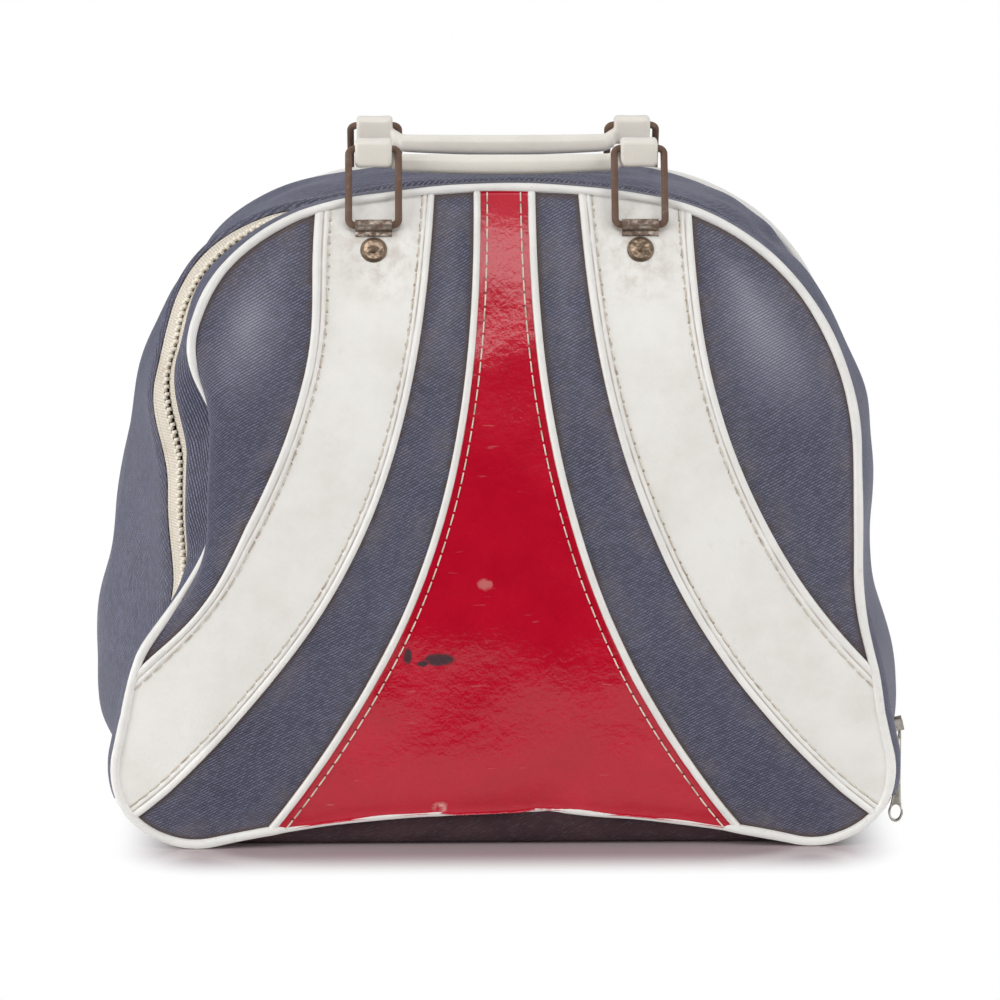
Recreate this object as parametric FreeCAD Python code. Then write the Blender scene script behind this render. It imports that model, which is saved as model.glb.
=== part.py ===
"""Soft-sided bowling ball bag that stands on its base.

Frame: +X to the bag's right, +Y to its back, +Z up, millimetres, with the origin
under the middle of the base.  Two bell-shaped faces lean in towards a narrow top.
A zip runs round the sides and top just behind the front face, so the front face
swings forward about the lower front edge.  Each face carries a moulded handle on
two wire loops, held by folded and riveted metal chapes.
"""
import FreeCAD, Part
import math
import os

from FreeCAD import Placement, Rotation, Vector

# Bell outline of both faces, measured over the edge piping
BASE_WIDTH = 348.0
SIDE_FLARE = 15.5
WAIST_WIDTH = BASE_WIDTH - 2 * SIDE_FLARE
WAIST_HEIGHT = 112.0
BODY_HEIGHT = 288.5
CORNER_RADIUS = 36.5
WAIST_RADIUS = 150.0
SHOULDER_RADIUS = 107.0
CROWN = 4.0
HEM_ARCH = 15.0

# Side profile: upright up to KNEE_HEIGHT, then one arc that leans inwards
BASE_DEPTH = 230.0
TOP_DEPTH = 84.0
KNEE_HEIGHT = 70.0

# Soft layers of a face, as depths behind its outermost plane
PIPING_RADIUS = 2.0
PIPING_STEP = 0.35
SKIN_DEPTH = 1.2
SKIN_THICKNESS = 0.8
CLOTH_THICKNESS = 1.6
BOARD_THICKNESS = 1.4
BOARD_MARGIN = 9.0
BOARD_FOOT = 24.0
LAYER_GAP = 0.2
WELT_WIDTH = 3.0
WELT_RISE = 0.5

# Stripes on a face: half width at the top, lean, flare and the flare's power
RED_EDGE = (14.3, 0.0, 99.0, 2.4)
BAND_INNER_EDGE = (32.8, 22.0, 124.0, 2.6)
BAND_OUTER_EDGE = (83.3, 10.0, 172.0, 2.6)

# Gusset round the sides and top, and the zip in it
GUSSET_THICKNESS = 2.0
GUSSET_FOOT = 22.3
GUSSET_BULGE = 20.0
GUSSET_SAG = 0.7
FRONT_STRIP_WIDTH = 16.0
ZIP_CENTRE = 31.0
TAPE_WIDTH = 17.0
TAPE_THICKNESS = 0.9
TEETH_WIDTH = 1.6
TEETH_HEIGHT = 3.1
TEETH_GAP = 1.6
STOP_HEIGHT = 2.0

# Base
BASE_THICKNESS = 2.5
BASE_UPSTAND = 21.7
BASE_BOARD_THICKNESS = 3.0
BASE_BOARD_MARGIN = 5.0
RING_RADIUS = 62.0
RING_WIRE_RADIUS = 2.5
CLIP_COUNT = 4
CLIP_WIDTH = 12.0
CLIP_LENGTH = 26.0
CLIP_THICKNESS = 0.8
CLIP_PLAY = 0.4

# Wire loops, chapes and rivets
LOOP_SPACING = 119.0
LOOP_WIDTH = 25.5
LOOP_HEIGHT = 39.5
LOOP_WIRE_RADIUS = 1.6
LOOP_CORNER_RADIUS = 2.8
LOOP_LEAN = 29.0
RIVET_DROP = 27.5
RIVET_HEAD_RADIUS = 6.0
RIVET_HEAD_RISE = 2.2
RIVET_PIP_RADIUS = 1.7
RIVET_SHANK_RADIUS = 2.0
CHAPE_WIDTH = 16.4
CHAPE_METAL = 0.8
CHAPE_REACH = 11.0
CHAPE_TAIL = 7.0
TURN_CLEARANCE = 0.1

# Handles
HANDLE_LENGTH = 138.0
GRIP_WIDTH = 11.6
GRIP_DEPTH = 11.0
GRIP_DROP = 6.6
LUG_WIDTH = 16.5
LUG_RADIUS = 4.6
HANDLE_TILT = 42.0

# Slider and pull
SLIDER_HEIGHT = 48.0
SLIDER_LENGTH = 18.0
SLIDER_WIDTH = 13.0
SLIDER_PLATE = 1.4
PIN_RADIUS = 0.9
PIN_RISE = 4.2
PULL_LENGTH = 42.0
PULL_WIDTH = 9.0
PULL_THICKNESS = 1.4

# Worked-out values
RIVET_HEIGHT = BODY_HEIGHT - RIVET_DROP
HALF_BASE = BASE_WIDTH / 2
HALF_WAIST = WAIST_WIDTH / 2
CORNER_X = HALF_BASE - CORNER_RADIUS
SHOULDER_X = HALF_WAIST - SHOULDER_RADIUS
SHOULDER_Z = BODY_HEIGHT - SHOULDER_RADIUS - CROWN
TOP_RADIUS = ((SHOULDER_RADIUS + CROWN) ** 2 + SHOULDER_X ** 2 - SHOULDER_RADIUS ** 2) / (2 * CROWN)
ARCH_RADIUS = (CORNER_X ** 2 + (CORNER_RADIUS - HEM_ARCH) ** 2 - CORNER_RADIUS ** 2) / (2 * HEM_ARCH)
FLARE = (math.atan2(WAIST_HEIGHT - CORNER_RADIUS, HALF_WAIST - CORNER_X)
         - math.acos(CORNER_RADIUS / math.hypot(HALF_WAIST - CORNER_X, WAIST_HEIGHT - CORNER_RADIUS)))
LEAN_RISE = BODY_HEIGHT - KNEE_HEIGHT
LEAN_RUN = (BASE_DEPTH - TOP_DEPTH) / 2
LEAN_RADIUS = (LEAN_RISE ** 2 + LEAN_RUN ** 2) / (2 * LEAN_RUN)
PIPING_WIDTH = 2 * PIPING_RADIUS
SLIT_HEIGHT = RIVET_HEAD_RADIUS + 2 * CHAPE_METAL + 0.4
CLOTH_DEPTH = SKIN_DEPTH + SKIN_THICKNESS
CLOTH_BACK = CLOTH_DEPTH + CLOTH_THICKNESS
BOARD_DEPTH = CLOTH_BACK + LAYER_GAP
EDGE_GAP = 0.1
SEAM_DEPTH = PIPING_WIDTH + 0.3
TAPE_NEAR = TEETH_GAP / 2 + TEETH_WIDTH
SPAN = 2 * BASE_WIDTH
UP = Vector(0, 0, 1)
ALONG_X = Vector(1, 0, 0)
ALONG_Y = Vector(0, 1, 0)


# ---------------------------------------------------------------- outlines

def polar(x, z, radius, angle):
    """Point of the circle round (x, z) in the XZ plane."""
    return Vector(x + radius * math.cos(angle), 0, z + radius * math.sin(angle))


def circle_arc(x, z, radius, start, end):
    """Arc edge in the XZ plane, from angle start to angle end."""
    middle = polar(x, z, radius, (start + end) / 2)
    return Part.Arc(polar(x, z, radius, start), middle, polar(x, z, radius, end)).toShape()


def bell_half(inset, arched):
    """Right half of the bell outline, from the bottom middle to the top middle."""
    top_z = BODY_HEIGHT - TOP_RADIUS
    lean = math.atan2(SHOULDER_Z - top_z, SHOULDER_X)
    waist_x = HALF_WAIST + WAIST_RADIUS
    waist_z = WAIST_HEIGHT + WAIST_RADIUS * math.tan(FLARE / 2)
    corner = CORNER_RADIUS - inset
    edges = []
    if arched:
        arch_z = HEM_ARCH - ARCH_RADIUS
        turn = math.atan2(CORNER_RADIUS - arch_z, CORNER_X)
        edges.append(circle_arc(0, arch_z, ARCH_RADIUS + inset, math.pi / 2, turn))
        start = turn - math.pi
    else:
        edges.append(Part.makeLine(Vector(0, 0, inset), Vector(CORNER_X, 0, inset)))
        start = -math.pi / 2
    edges.append(circle_arc(CORNER_X, CORNER_RADIUS, corner, start, FLARE))
    edges.append(Part.makeLine(polar(CORNER_X, CORNER_RADIUS, corner, FLARE),
                               polar(waist_x, waist_z, WAIST_RADIUS + inset, math.pi + FLARE)))
    edges.append(circle_arc(waist_x, waist_z, WAIST_RADIUS + inset, math.pi + FLARE, math.pi))
    edges.append(Part.makeLine(Vector(HALF_WAIST - inset, 0, waist_z), Vector(HALF_WAIST - inset, 0, SHOULDER_Z)))
    edges.append(circle_arc(SHOULDER_X, SHOULDER_Z, SHOULDER_RADIUS - inset, 0, lean))
    edges.append(circle_arc(0, top_z, TOP_RADIUS - inset, lean, math.pi / 2))
    return edges


def bell_prism(inset, arched=True, low=-BASE_DEPTH, high=BASE_DEPTH):
    """Solid with the bell outline, running along Y from low to high."""
    right = bell_half(inset, arched)
    left = [edge.mirror(Vector(), ALONG_X) for edge in right]
    wire = Part.Wire(Part.__sortEdges__(right + left))
    face = Part.Face(wire)
    face.translate(Vector(0, low, 0))
    return face.extrude(Vector(0, high - low, 0))


def lean_back(z):
    """How far the leaning face has moved in from the upright at height z."""
    rise = max(0.0, z - KNEE_HEIGHT)
    return LEAN_RADIUS - math.sqrt(LEAN_RADIUS ** 2 - rise ** 2)


def slope(z):
    """Angle of the face from upright at height z, in degrees."""
    return math.degrees(math.asin(max(0.0, z - KNEE_HEIGHT) / LEAN_RADIUS))


def front_y(z, depth=0.0):
    """Y of the surface that lies depth behind the outermost plane of the front face."""
    return -BASE_DEPTH / 2 + lean_back(z) + depth


def profile_band(near, far):
    """Everything between the depths near and far behind the front face's outermost plane."""
    floor = -BASE_THICKNESS
    top = BODY_HEIGHT + BASE_THICKNESS
    middle = (KNEE_HEIGHT + top) / 2

    def side(depth):
        knee = Vector(0, front_y(KNEE_HEIGHT, depth), KNEE_HEIGHT)
        head = Vector(0, front_y(top, depth), top)
        foot = Vector(0, front_y(floor, depth), floor)
        bend = Part.Arc(knee, Vector(0, front_y(middle, depth), middle), head).toShape()
        return foot, head, [Part.makeLine(foot, knee), bend]

    near_foot, near_head, near_edges = side(near)
    far_foot, far_head, far_edges = side(far)
    ends = [Part.makeLine(near_foot, far_foot), Part.makeLine(near_head, far_head)]
    face = Part.Face(Part.Wire(Part.__sortEdges__(near_edges + far_edges + ends)))
    face.translate(Vector(-SPAN / 2, 0, 0))
    return face.extrude(Vector(SPAN, 0, 0))


def above(z):
    """Everything higher than z."""
    return Part.makeBox(SPAN, SPAN, SPAN, Vector(-SPAN / 2, -SPAN / 2, z))


def ring(outer, inner, near, far, foot):
    """Strip of gusset between two insets and two depths, open below foot."""
    strip = bell_prism(outer, False).cut(bell_prism(inner, False))
    return strip.common(profile_band(near, far)).common(above(foot))


# ---------------------------------------------------------------- face pieces

def stripe_point(edge, z, shift=0.0):
    """Point of a stripe's edge on the right half, moved outwards by shift."""
    top, lean, flare, power = edge

    def half_width(height):
        share = max(0.0, (BODY_HEIGHT - height) / BODY_HEIGHT)
        return top + lean * share + flare * share ** power

    step = 0.5
    run = (half_width(z + step) - half_width(z - step)) / (2 * step)
    length = math.hypot(1, run)
    return half_width(z) + shift / length, z - shift * run / length


def stripe_curve(edge, shift):
    """Smooth flat curve along a stripe's edge, running past the face at both ends."""
    count = 9
    low, high = -2 * WELT_WIDTH, BODY_HEIGHT + WELT_WIDTH
    points = []
    for index in range(count):
        x, z = stripe_point(edge, low + (high - low) * index / (count - 1), shift)
        points.append(Vector(x, 0, z))
    curve = Part.BSplineCurve()
    curve.interpolate(points)
    return curve.toShape()


def stripe_prism(right_edge, left_edge):
    """Solid between two flat stripe curves, running along Y."""
    joins = [Part.makeLine(right_edge.firstVertex().Point, left_edge.firstVertex().Point),
             Part.makeLine(right_edge.lastVertex().Point, left_edge.lastVertex().Point)]
    face = Part.Face(Part.Wire(Part.__sortEdges__([right_edge, left_edge] + joins)))
    face.translate(Vector(0, -BASE_DEPTH, 0))
    return face.extrude(Vector(0, 2 * BASE_DEPTH, 0))


def face_field():
    """Room for the cloth and skins of a face, inside its edge piping."""
    return bell_prism(PIPING_WIDTH + EDGE_GAP)


def skin(prism):
    """Decorative skin lying on the cloth, with the outline of prism."""
    return face_field().common(profile_band(SKIN_DEPTH, CLOTH_DEPTH)).common(prism)


def red_panel():
    right = stripe_curve(RED_EDGE, -WELT_WIDTH)
    return skin(stripe_prism(right, right.mirror(Vector(), ALONG_X)))


def right_band():
    outer = stripe_curve(BAND_OUTER_EDGE, -WELT_WIDTH)
    return skin(stripe_prism(outer, stripe_curve(BAND_INNER_EDGE, WELT_WIDTH)))


def welt(edge, inwards):
    """Folded welt along a stripe's edge, just inside the stripe and proud of its skin."""
    outline = [stripe_curve(edge, 0), stripe_curve(edge, inwards * WELT_WIDTH)]
    field = face_field().common(profile_band(SKIN_DEPTH - WELT_RISE, CLOTH_DEPTH))
    return field.common(stripe_prism(*outline))


def edge_piping():
    """Cord in the seam right round a face, its section rounded by stepped corners."""
    step = PIPING_RADIUS * PIPING_STEP
    wide = bell_prism(0).cut(bell_prism(PIPING_WIDTH)).common(profile_band(step, PIPING_WIDTH - step))
    deep = bell_prism(step).cut(bell_prism(PIPING_WIDTH - step)).common(profile_band(0, PIPING_WIDTH))
    return wide.fuse(deep).removeSplitter()


def stiffener():
    """Board behind the cloth, with a window round each chape."""
    board = bell_prism(BOARD_MARGIN).common(profile_band(BOARD_DEPTH, BOARD_DEPTH + BOARD_THICKNESS))
    board = board.common(above(BOARD_FOOT))
    margin = 3.0
    width = CHAPE_WIDTH + 2 * margin
    height = CHAPE_REACH + CHAPE_TAIL + 2 * margin
    for side in (-1, 1):
        window = Part.makeBox(width, BASE_DEPTH / 8, height,
                              Vector(-width / 2, -BASE_DEPTH / 16, -CHAPE_TAIL - margin))
        board = board.cut(at_chape(window, side))
    return board


# ---------------------------------------------------------------- chapes and loops

def at_chape(shape, side):
    """Move a shape from the chape's own frame to the front face.

    In that frame the origin is the rivet's middle on the band's surface, Z runs up
    the face and Y points into the bag.
    """
    placed = shape.copy()
    origin = Vector(side * LOOP_SPACING / 2, front_y(RIVET_HEIGHT, SKIN_DEPTH), RIVET_HEIGHT)
    placed.Placement = Placement(origin, Rotation(ALONG_X, -slope(RIVET_HEIGHT)))
    return placed


def bar_offset():
    """How far the loop's lower bar stands off the band."""
    return LOOP_WIRE_RADIUS + TURN_CLEARANCE + CHAPE_METAL + LAYER_GAP


def cross_bar(radius, length, y, z):
    """Cylinder along X, centred on x = 0."""
    return Part.makeCylinder(radius, length, Vector(-length / 2, y, z), ALONG_X)


def cross_box(length, y0, y1, z0, z1):
    """Box centred on x = 0."""
    return Part.makeBox(length, y1 - y0, z1 - z0, Vector(-length / 2, y0, z0))


def tail_depth():
    """Depth of the chape's hidden tail behind the band's surface."""
    return SKIN_THICKNESS + CLOTH_THICKNESS + LAYER_GAP


def chape():
    """Metal strip folded round the loop's bar, through the slit and under the rivet."""
    eye_radius = LOOP_WIRE_RADIUS + TURN_CLEARANCE + CHAPE_METAL
    doubled = 2 * CHAPE_METAL
    bar_y = -bar_offset()
    tail = tail_depth()
    strap = cross_bar(eye_radius, CHAPE_WIDTH, bar_y, CHAPE_REACH)
    strap = strap.fuse(cross_box(CHAPE_WIDTH, -doubled - EDGE_GAP, -EDGE_GAP, SLIT_HEIGHT - doubled, CHAPE_REACH))
    strap = strap.fuse(cross_box(CHAPE_WIDTH, -doubled - EDGE_GAP, tail + doubled,
                                 SLIT_HEIGHT - doubled, SLIT_HEIGHT))
    strap = strap.fuse(cross_box(CHAPE_WIDTH, tail, tail + doubled, -CHAPE_TAIL, SLIT_HEIGHT))
    bore = cross_bar(LOOP_WIRE_RADIUS + TURN_CLEARANCE, 2 * CHAPE_WIDTH, bar_y, CHAPE_REACH)
    return strap.cut(bore).cut(rivet_hole()).removeSplitter()


def rivet_hole():
    """Hole that the rivet's shank passes through, in the chape's frame."""
    radius = RIVET_SHANK_RADIUS + EDGE_GAP
    reach = 4 * bar_offset()
    return Part.makeCylinder(radius, 2 * reach, Vector(0, -reach, 0), ALONG_Y)


def slit():
    """Slit in the band and cloth that the chape passes through."""
    doubled = 2 * CHAPE_METAL
    return cross_box(CHAPE_WIDTH + 2 * LAYER_GAP, -bar_offset(), bar_offset() * 2,
                     SLIT_HEIGHT - doubled - EDGE_GAP, SLIT_HEIGHT + EDGE_GAP)


def rivet():
    """Domed head with a centre pip, a shank and a spread end, turned about Y."""
    washer_y = tail_depth() + 2 * CHAPE_METAL + EDGE_GAP
    end = washer_y + CHAPE_METAL + EDGE_GAP
    rim = 0.5
    profile = [Vector(0, -EDGE_GAP - RIVET_HEAD_RISE, 0),
               Vector(RIVET_PIP_RADIUS, -EDGE_GAP - RIVET_HEAD_RISE + rim, 0),
               Vector(RIVET_PIP_RADIUS, -EDGE_GAP - RIVET_HEAD_RISE + 2 * rim, 0),
               Vector(RIVET_HEAD_RADIUS * 0.75, -EDGE_GAP - 2 * rim, 0),
               Vector(RIVET_HEAD_RADIUS, -EDGE_GAP - rim, 0),
               Vector(RIVET_HEAD_RADIUS, -EDGE_GAP, 0),
               Vector(RIVET_SHANK_RADIUS, -EDGE_GAP, 0),
               Vector(RIVET_SHANK_RADIUS, end, 0),
               Vector(RIVET_SHANK_RADIUS * 1.6, end, 0),
               Vector(RIVET_SHANK_RADIUS * 1.3, end + 2 * rim, 0),
               Vector(0, end + 2 * rim, 0)]
    face = Part.Face(Part.makePolygon(profile + [profile[0]]))
    return face.revolve(Vector(), ALONG_Y, 360)


def rivet_washer():
    """Flat washer between the chape's tail and the rivet's spread end."""
    washer_y = tail_depth() + 2 * CHAPE_METAL + EDGE_GAP
    disc = Part.makeCylinder(RIVET_HEAD_RADIUS, CHAPE_METAL, Vector(0, washer_y, 0), ALONG_Y)
    return disc.cut(rivet_hole())


def loop_reach():
    """Distance between the middles of a loop's lower and upper bars."""
    return LOOP_HEIGHT - 2 * LOOP_WIRE_RADIUS


def wire_loop():
    """Rectangular wire loop standing on its lower bar, which lies on the X axis."""
    half = LOOP_WIDTH / 2 - LOOP_WIRE_RADIUS
    reach = loop_reach()
    bend = LOOP_CORNER_RADIUS
    middle = bend * (1 - math.sqrt(0.5))
    edges = []
    corners = [(half, 0, -1, 1), (half, reach, -1, -1), (-half, reach, 1, -1), (-half, 0, 1, 1)]
    for index, (x, z, into_x, into_z) in enumerate(corners):
        on_bar = Vector(x + into_x * bend, 0, z)
        on_leg = Vector(x, 0, z + into_z * bend)
        between = Vector(x + into_x * middle, 0, z + into_z * middle)
        edges.append(Part.Arc(on_bar, between, on_leg).toShape())
    edges.append(Part.makeLine(Vector(half, 0, bend), Vector(half, 0, reach - bend)))
    edges.append(Part.makeLine(Vector(-half, 0, bend), Vector(-half, 0, reach - bend)))
    for z in (0, reach):
        edges.append(Part.makeLine(Vector(bend - half, 0, z), Vector(half - bend, 0, z)))
    spine = Part.Wire(Part.__sortEdges__(edges))
    start = spine.Edges[0].firstVertex().Point
    direction = spine.Edges[0].tangentAt(spine.Edges[0].FirstParameter)
    section = Part.Wire([Part.makeCircle(LOOP_WIRE_RADIUS, start, direction)])
    return spine.makePipeShell([section], True, False)


def loop_pivot():
    """Middle of the loop's lower bar on the front face, at x = 0."""
    lean = math.radians(slope(RIVET_HEIGHT))
    away = bar_offset()
    return Vector(0, front_y(RIVET_HEIGHT, SKIN_DEPTH) + CHAPE_REACH * math.sin(lean) - away * math.cos(lean),
                  RIVET_HEIGHT + CHAPE_REACH * math.cos(lean) + away * math.sin(lean))


def handle_pivot():
    """Middle of the loops' upper bars at rest, at x = 0."""
    lean = math.radians(LOOP_LEAN)
    return loop_pivot() + Vector(0, loop_reach() * math.sin(lean), loop_reach() * math.cos(lean))


def standing_loop(side):
    """Loop on the front face, leaning inwards over the top of the bag."""
    loop = wire_loop()
    loop.Placement = Placement(loop_pivot() + Vector(side * LOOP_SPACING / 2, 0, 0),
                               Rotation(ALONG_X, -LOOP_LEAN))
    return loop


# ---------------------------------------------------------------- handle

def grip_section(x, width, depth):
    """Flat-topped section of the grip: the flat side faces the loops' bars."""
    flat_z = -GRIP_DROP
    left = Vector(x, -width / 2, flat_z)
    right = Vector(x, width / 2, flat_z)
    belly = Part.Arc(left, Vector(x, 0, flat_z - depth), right).toShape()
    return Part.Wire([Part.makeLine(right, left), belly])


def handle():
    """Moulded handle with its pivot on the X axis and its grip below it."""
    half = HANDLE_LENGTH / 2
    stations = [(-1.0, 0.70, 0.45), (-0.86, 0.86, 0.66), (-0.45, 0.97, 0.92), (0.0, 1.0, 1.0),
                (0.45, 0.97, 0.92), (0.86, 0.86, 0.66), (1.0, 0.70, 0.45)]
    sections = [grip_section(half * place, GRIP_WIDTH * width, GRIP_DEPTH * depth)
                for place, width, depth in stations]
    body = Part.makeLoft(sections, True, False)
    for side in (-1, 1):
        x = side * LOOP_SPACING / 2
        sink = 2.0
        cheek = GRIP_WIDTH * 0.86
        lug = Part.makeCylinder(LUG_RADIUS, LUG_WIDTH, Vector(x - LUG_WIDTH / 2, 0, 0), ALONG_X)
        foot = Part.makeBox(LUG_WIDTH, cheek, sink + 1.0,
                            Vector(x - LUG_WIDTH / 2, -cheek / 2, -GRIP_DROP - sink))
        web = Part.makeBox(LUG_WIDTH, 2 * LUG_RADIUS, GRIP_DROP + sink,
                           Vector(x - LUG_WIDTH / 2, -LUG_RADIUS, -GRIP_DROP - sink))
        body = body.fuse([lug, web, foot])
    bore = Part.makeCylinder(LOOP_WIRE_RADIUS + TURN_CLEARANCE, 2 * HANDLE_LENGTH,
                             Vector(-HANDLE_LENGTH, 0, 0), ALONG_X)
    return body.cut(bore).removeSplitter()


def resting_handle():
    """Front handle at rest: its grip hangs inwards and down from the loops."""
    shape = handle()
    shape.Placement = Placement(handle_pivot(), Rotation(ALONG_X, HANDLE_TILT))
    return shape


# ---------------------------------------------------------------- gusset and zip

def bell_track():
    """Right half of the bell from the top middle down to the gusset's foot.

    Each stretch is its length and a rule that gives x, z and the outward normal.
    """
    top_z = BODY_HEIGHT - TOP_RADIUS
    lean = math.atan2(SHOULDER_Z - top_z, SHOULDER_X)
    waist_x = HALF_WAIST + WAIST_RADIUS
    waist_z = WAIST_HEIGHT + WAIST_RADIUS * math.tan(FLARE / 2)
    flare_top = polar(waist_x, waist_z, WAIST_RADIUS, math.pi + FLARE)
    flare_foot = polar(CORNER_X, CORNER_RADIUS, CORNER_RADIUS, FLARE)
    foot = math.asin((GUSSET_FOOT - CORNER_RADIUS) / CORNER_RADIUS)

    def convex(x, z, radius, start, end):
        def at(share):
            angle = start + (end - start) * share
            point = polar(x, z, radius, angle)
            return point.x, point.z, math.cos(angle), math.sin(angle)
        return radius * abs(end - start), at

    def concave(x, z, radius, start, end):
        def at(share):
            angle = start + (end - start) * share
            point = polar(x, z, radius, angle)
            return point.x, point.z, -math.cos(angle), -math.sin(angle)
        return radius * abs(end - start), at

    def straight(start, end, angle):
        def at(share):
            point = start + (end - start) * share
            return point.x, point.z, math.cos(angle), math.sin(angle)
        return (end - start).Length, at

    return [convex(0, top_z, TOP_RADIUS, math.pi / 2, lean),
            convex(SHOULDER_X, SHOULDER_Z, SHOULDER_RADIUS, lean, 0),
            straight(Vector(HALF_WAIST, 0, SHOULDER_Z), Vector(HALF_WAIST, 0, waist_z), 0),
            concave(waist_x, waist_z, WAIST_RADIUS, math.pi, math.pi + FLARE),
            straight(flare_top, flare_foot, FLARE),
            convex(CORNER_X, CORNER_RADIUS, CORNER_RADIUS, FLARE, foot)]


def bell_point(share):
    """Point and normal at a share of the way from the top middle: -1 is the left foot."""
    track = bell_track()
    left = abs(share) * sum(length for length, _ in track)
    for length, at in track:
        if left <= length or at is track[-1][1]:
            x, z, normal_x, normal_z = at(min(1.0, left / length))
            break
        left -= length
    sign = -1 if share < 0 else 1
    return sign * x, z, sign * normal_x, normal_z


def rear_gusset():
    """Wide strip behind the zip, bulging at the sides, most of all low down."""
    along, across = 49, 7
    rise = BODY_HEIGHT - GUSSET_FOOT

    def surface(inset):
        rows = []
        for i in range(along):
            x, z, normal_x, normal_z = bell_point(-1 + 2 * i / (along - 1))
            share_up = min(1.0, max(0.0, (z - GUSSET_FOOT) / rise))
            swell = GUSSET_BULGE * math.sin(math.pi * share_up ** GUSSET_SAG)
            start = front_y(z, ZIP_CENTRE + ZIP_CENTRE - FRONT_STRIP_WIDTH)
            end = -front_y(z, SEAM_DEPTH)
            row = []
            for j in range(across):
                share = j / (across - 1)
                out = swell * 4 * share * (1 - share) - inset
                row.append(Vector(x + out * normal_x, start + (end - start) * share, z + out * normal_z))
            rows.append(row)
        patch = Part.BSplineSurface()
        patch.interpolate(rows)
        return patch.toShape()

    outer, inner = surface(0), surface(GUSSET_THICKNESS)
    sides = [Part.makeRuledSurface(a, b) for a, b in zip(outer.Edges, inner.Edges)]
    shell = Part.makeShell([outer, inner] + sides)
    shell.sewShape()
    solid = Part.makeSolid(Part.Shell(shell.Faces))
    if solid.Volume < 0:
        solid.reverse()
    return solid


def front_gusset():
    """Narrow strip between the front face's piping and the zip."""
    return ring(0, GUSSET_THICKNESS, SEAM_DEPTH, FRONT_STRIP_WIDTH, GUSSET_FOOT)


def zip_tape(side):
    """Cloth tape under the gusset's edge: side is -1 for the front, 1 for the rear."""
    near = ZIP_CENTRE + side * TAPE_NEAR
    far = ZIP_CENTRE + side * (TAPE_NEAR + TAPE_WIDTH)
    return ring(GUSSET_THICKNESS, GUSSET_THICKNESS + TAPE_THICKNESS, min(near, far), max(near, far), GUSSET_FOOT)


def zip_teeth(side):
    """Row of teeth along the tape's edge, above the stops."""
    near = ZIP_CENTRE + side * TEETH_GAP / 2
    far = ZIP_CENTRE + side * TAPE_NEAR
    inset = GUSSET_THICKNESS + TAPE_THICKNESS / 2 - TEETH_HEIGHT / 2
    foot = GUSSET_FOOT + STOP_HEIGHT + LAYER_GAP
    return ring(inset, inset + TEETH_HEIGHT, min(near, far), max(near, far), foot)


def zip_stops():
    """Metal stops at both ends of the rear row."""
    inset = GUSSET_THICKNESS + TAPE_THICKNESS / 2 - TEETH_HEIGHT / 2
    stops = ring(inset, inset + TEETH_HEIGHT, ZIP_CENTRE + TEETH_GAP / 2, ZIP_CENTRE + TAPE_NEAR, GUSSET_FOOT)
    return stops.cut(above(GUSSET_FOOT + STOP_HEIGHT))


def at_slider(shape):
    """Move a shape from the slider's frame to the right side of the bag.

    In that frame Z runs up the zip, X points out of the gusset and Y to the back.
    """
    run = SLIDER_HEIGHT - CORNER_RADIUS - CORNER_RADIUS * math.sin(FLARE)
    x = CORNER_X + CORNER_RADIUS * math.cos(FLARE) - run * math.tan(FLARE)
    placed = shape.copy()
    origin = Vector(x, front_y(SLIDER_HEIGHT, ZIP_CENTRE), SLIDER_HEIGHT)
    placed.Placement = Placement(origin, Rotation(ALONG_Y, -math.degrees(FLARE)))
    return placed


def slider_plate(x0, x1):
    """Shield-shaped plate, wide at the end that spreads the teeth."""
    half = SLIDER_LENGTH / 2
    wide = SLIDER_WIDTH / 2
    narrow = wide * 0.72
    points = [Vector(x0, -narrow, -half), Vector(x0, narrow + 0.8, -half), Vector(x0, wide + 0.8, 0),
              Vector(x0, wide + 0.8, half - 3), Vector(x0, narrow, half), Vector(x0, -narrow, half),
              Vector(x0, -wide, half - 3), Vector(x0, -wide, 0)]
    face = Part.Face(Part.makePolygon(points + [points[0]]))
    return face.extrude(Vector(x1 - x0, 0, 0))


def slider():
    """Two plates joined by the post between the rows, with a flange round the rear row.

    Its front side is open, so the front row leaves it when the face swings away.
    """
    clear = 0.5
    tape_top = -GUSSET_THICKNESS
    tape_low = tape_top - TAPE_THICKNESS
    teeth_low = tape_top - TAPE_THICKNESS / 2 - TEETH_HEIGHT / 2
    top = 0.3
    low = teeth_low - clear
    post_half = TEETH_GAP / 2 - 0.3
    flange = SLIDER_WIDTH / 2 - 0.9
    half = SLIDER_LENGTH / 2
    body = slider_plate(top, top + SLIDER_PLATE).fuse(slider_plate(low - SLIDER_PLATE, low))
    post = Part.makeBox(top - low, 2 * post_half, half * 0.6, Vector(low, -post_half, half * 0.3))
    upper = Part.makeBox(top - tape_top - clear, 1.4, half * 1.4, Vector(tape_top + clear, flange, -half * 0.7))
    lower = Part.makeBox(tape_low - clear - low, 1.4, half * 1.4, Vector(low, flange, -half * 0.7))
    body = body.fuse([post, upper, lower])
    ear_y = 2.3
    for side in (-1, 1):
        y = side * ear_y if side > 0 else -ear_y - 1.3
        ear = Part.makeBox(PIN_RISE - 0.2, 1.3, 5.0, Vector(top + SLIDER_PLATE - 0.2, y, -2.5))
        body = body.fuse(ear)
    pin = Part.makeCylinder(PIN_RADIUS, 2 * ear_y + 2.0, Vector(pin_x(), -ear_y - 1.0, 0), ALONG_Y)
    return body.fuse(pin).removeSplitter()


def pin_x():
    """Height of the pull's pin above the gusset, in the slider's frame."""
    return 0.3 + PIN_RISE


def pull_pivot():
    """Middle of the pull's pin in the bag's frame."""
    marker = at_slider(Part.Vertex(pin_x(), 0, 0))
    return marker.Point


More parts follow.
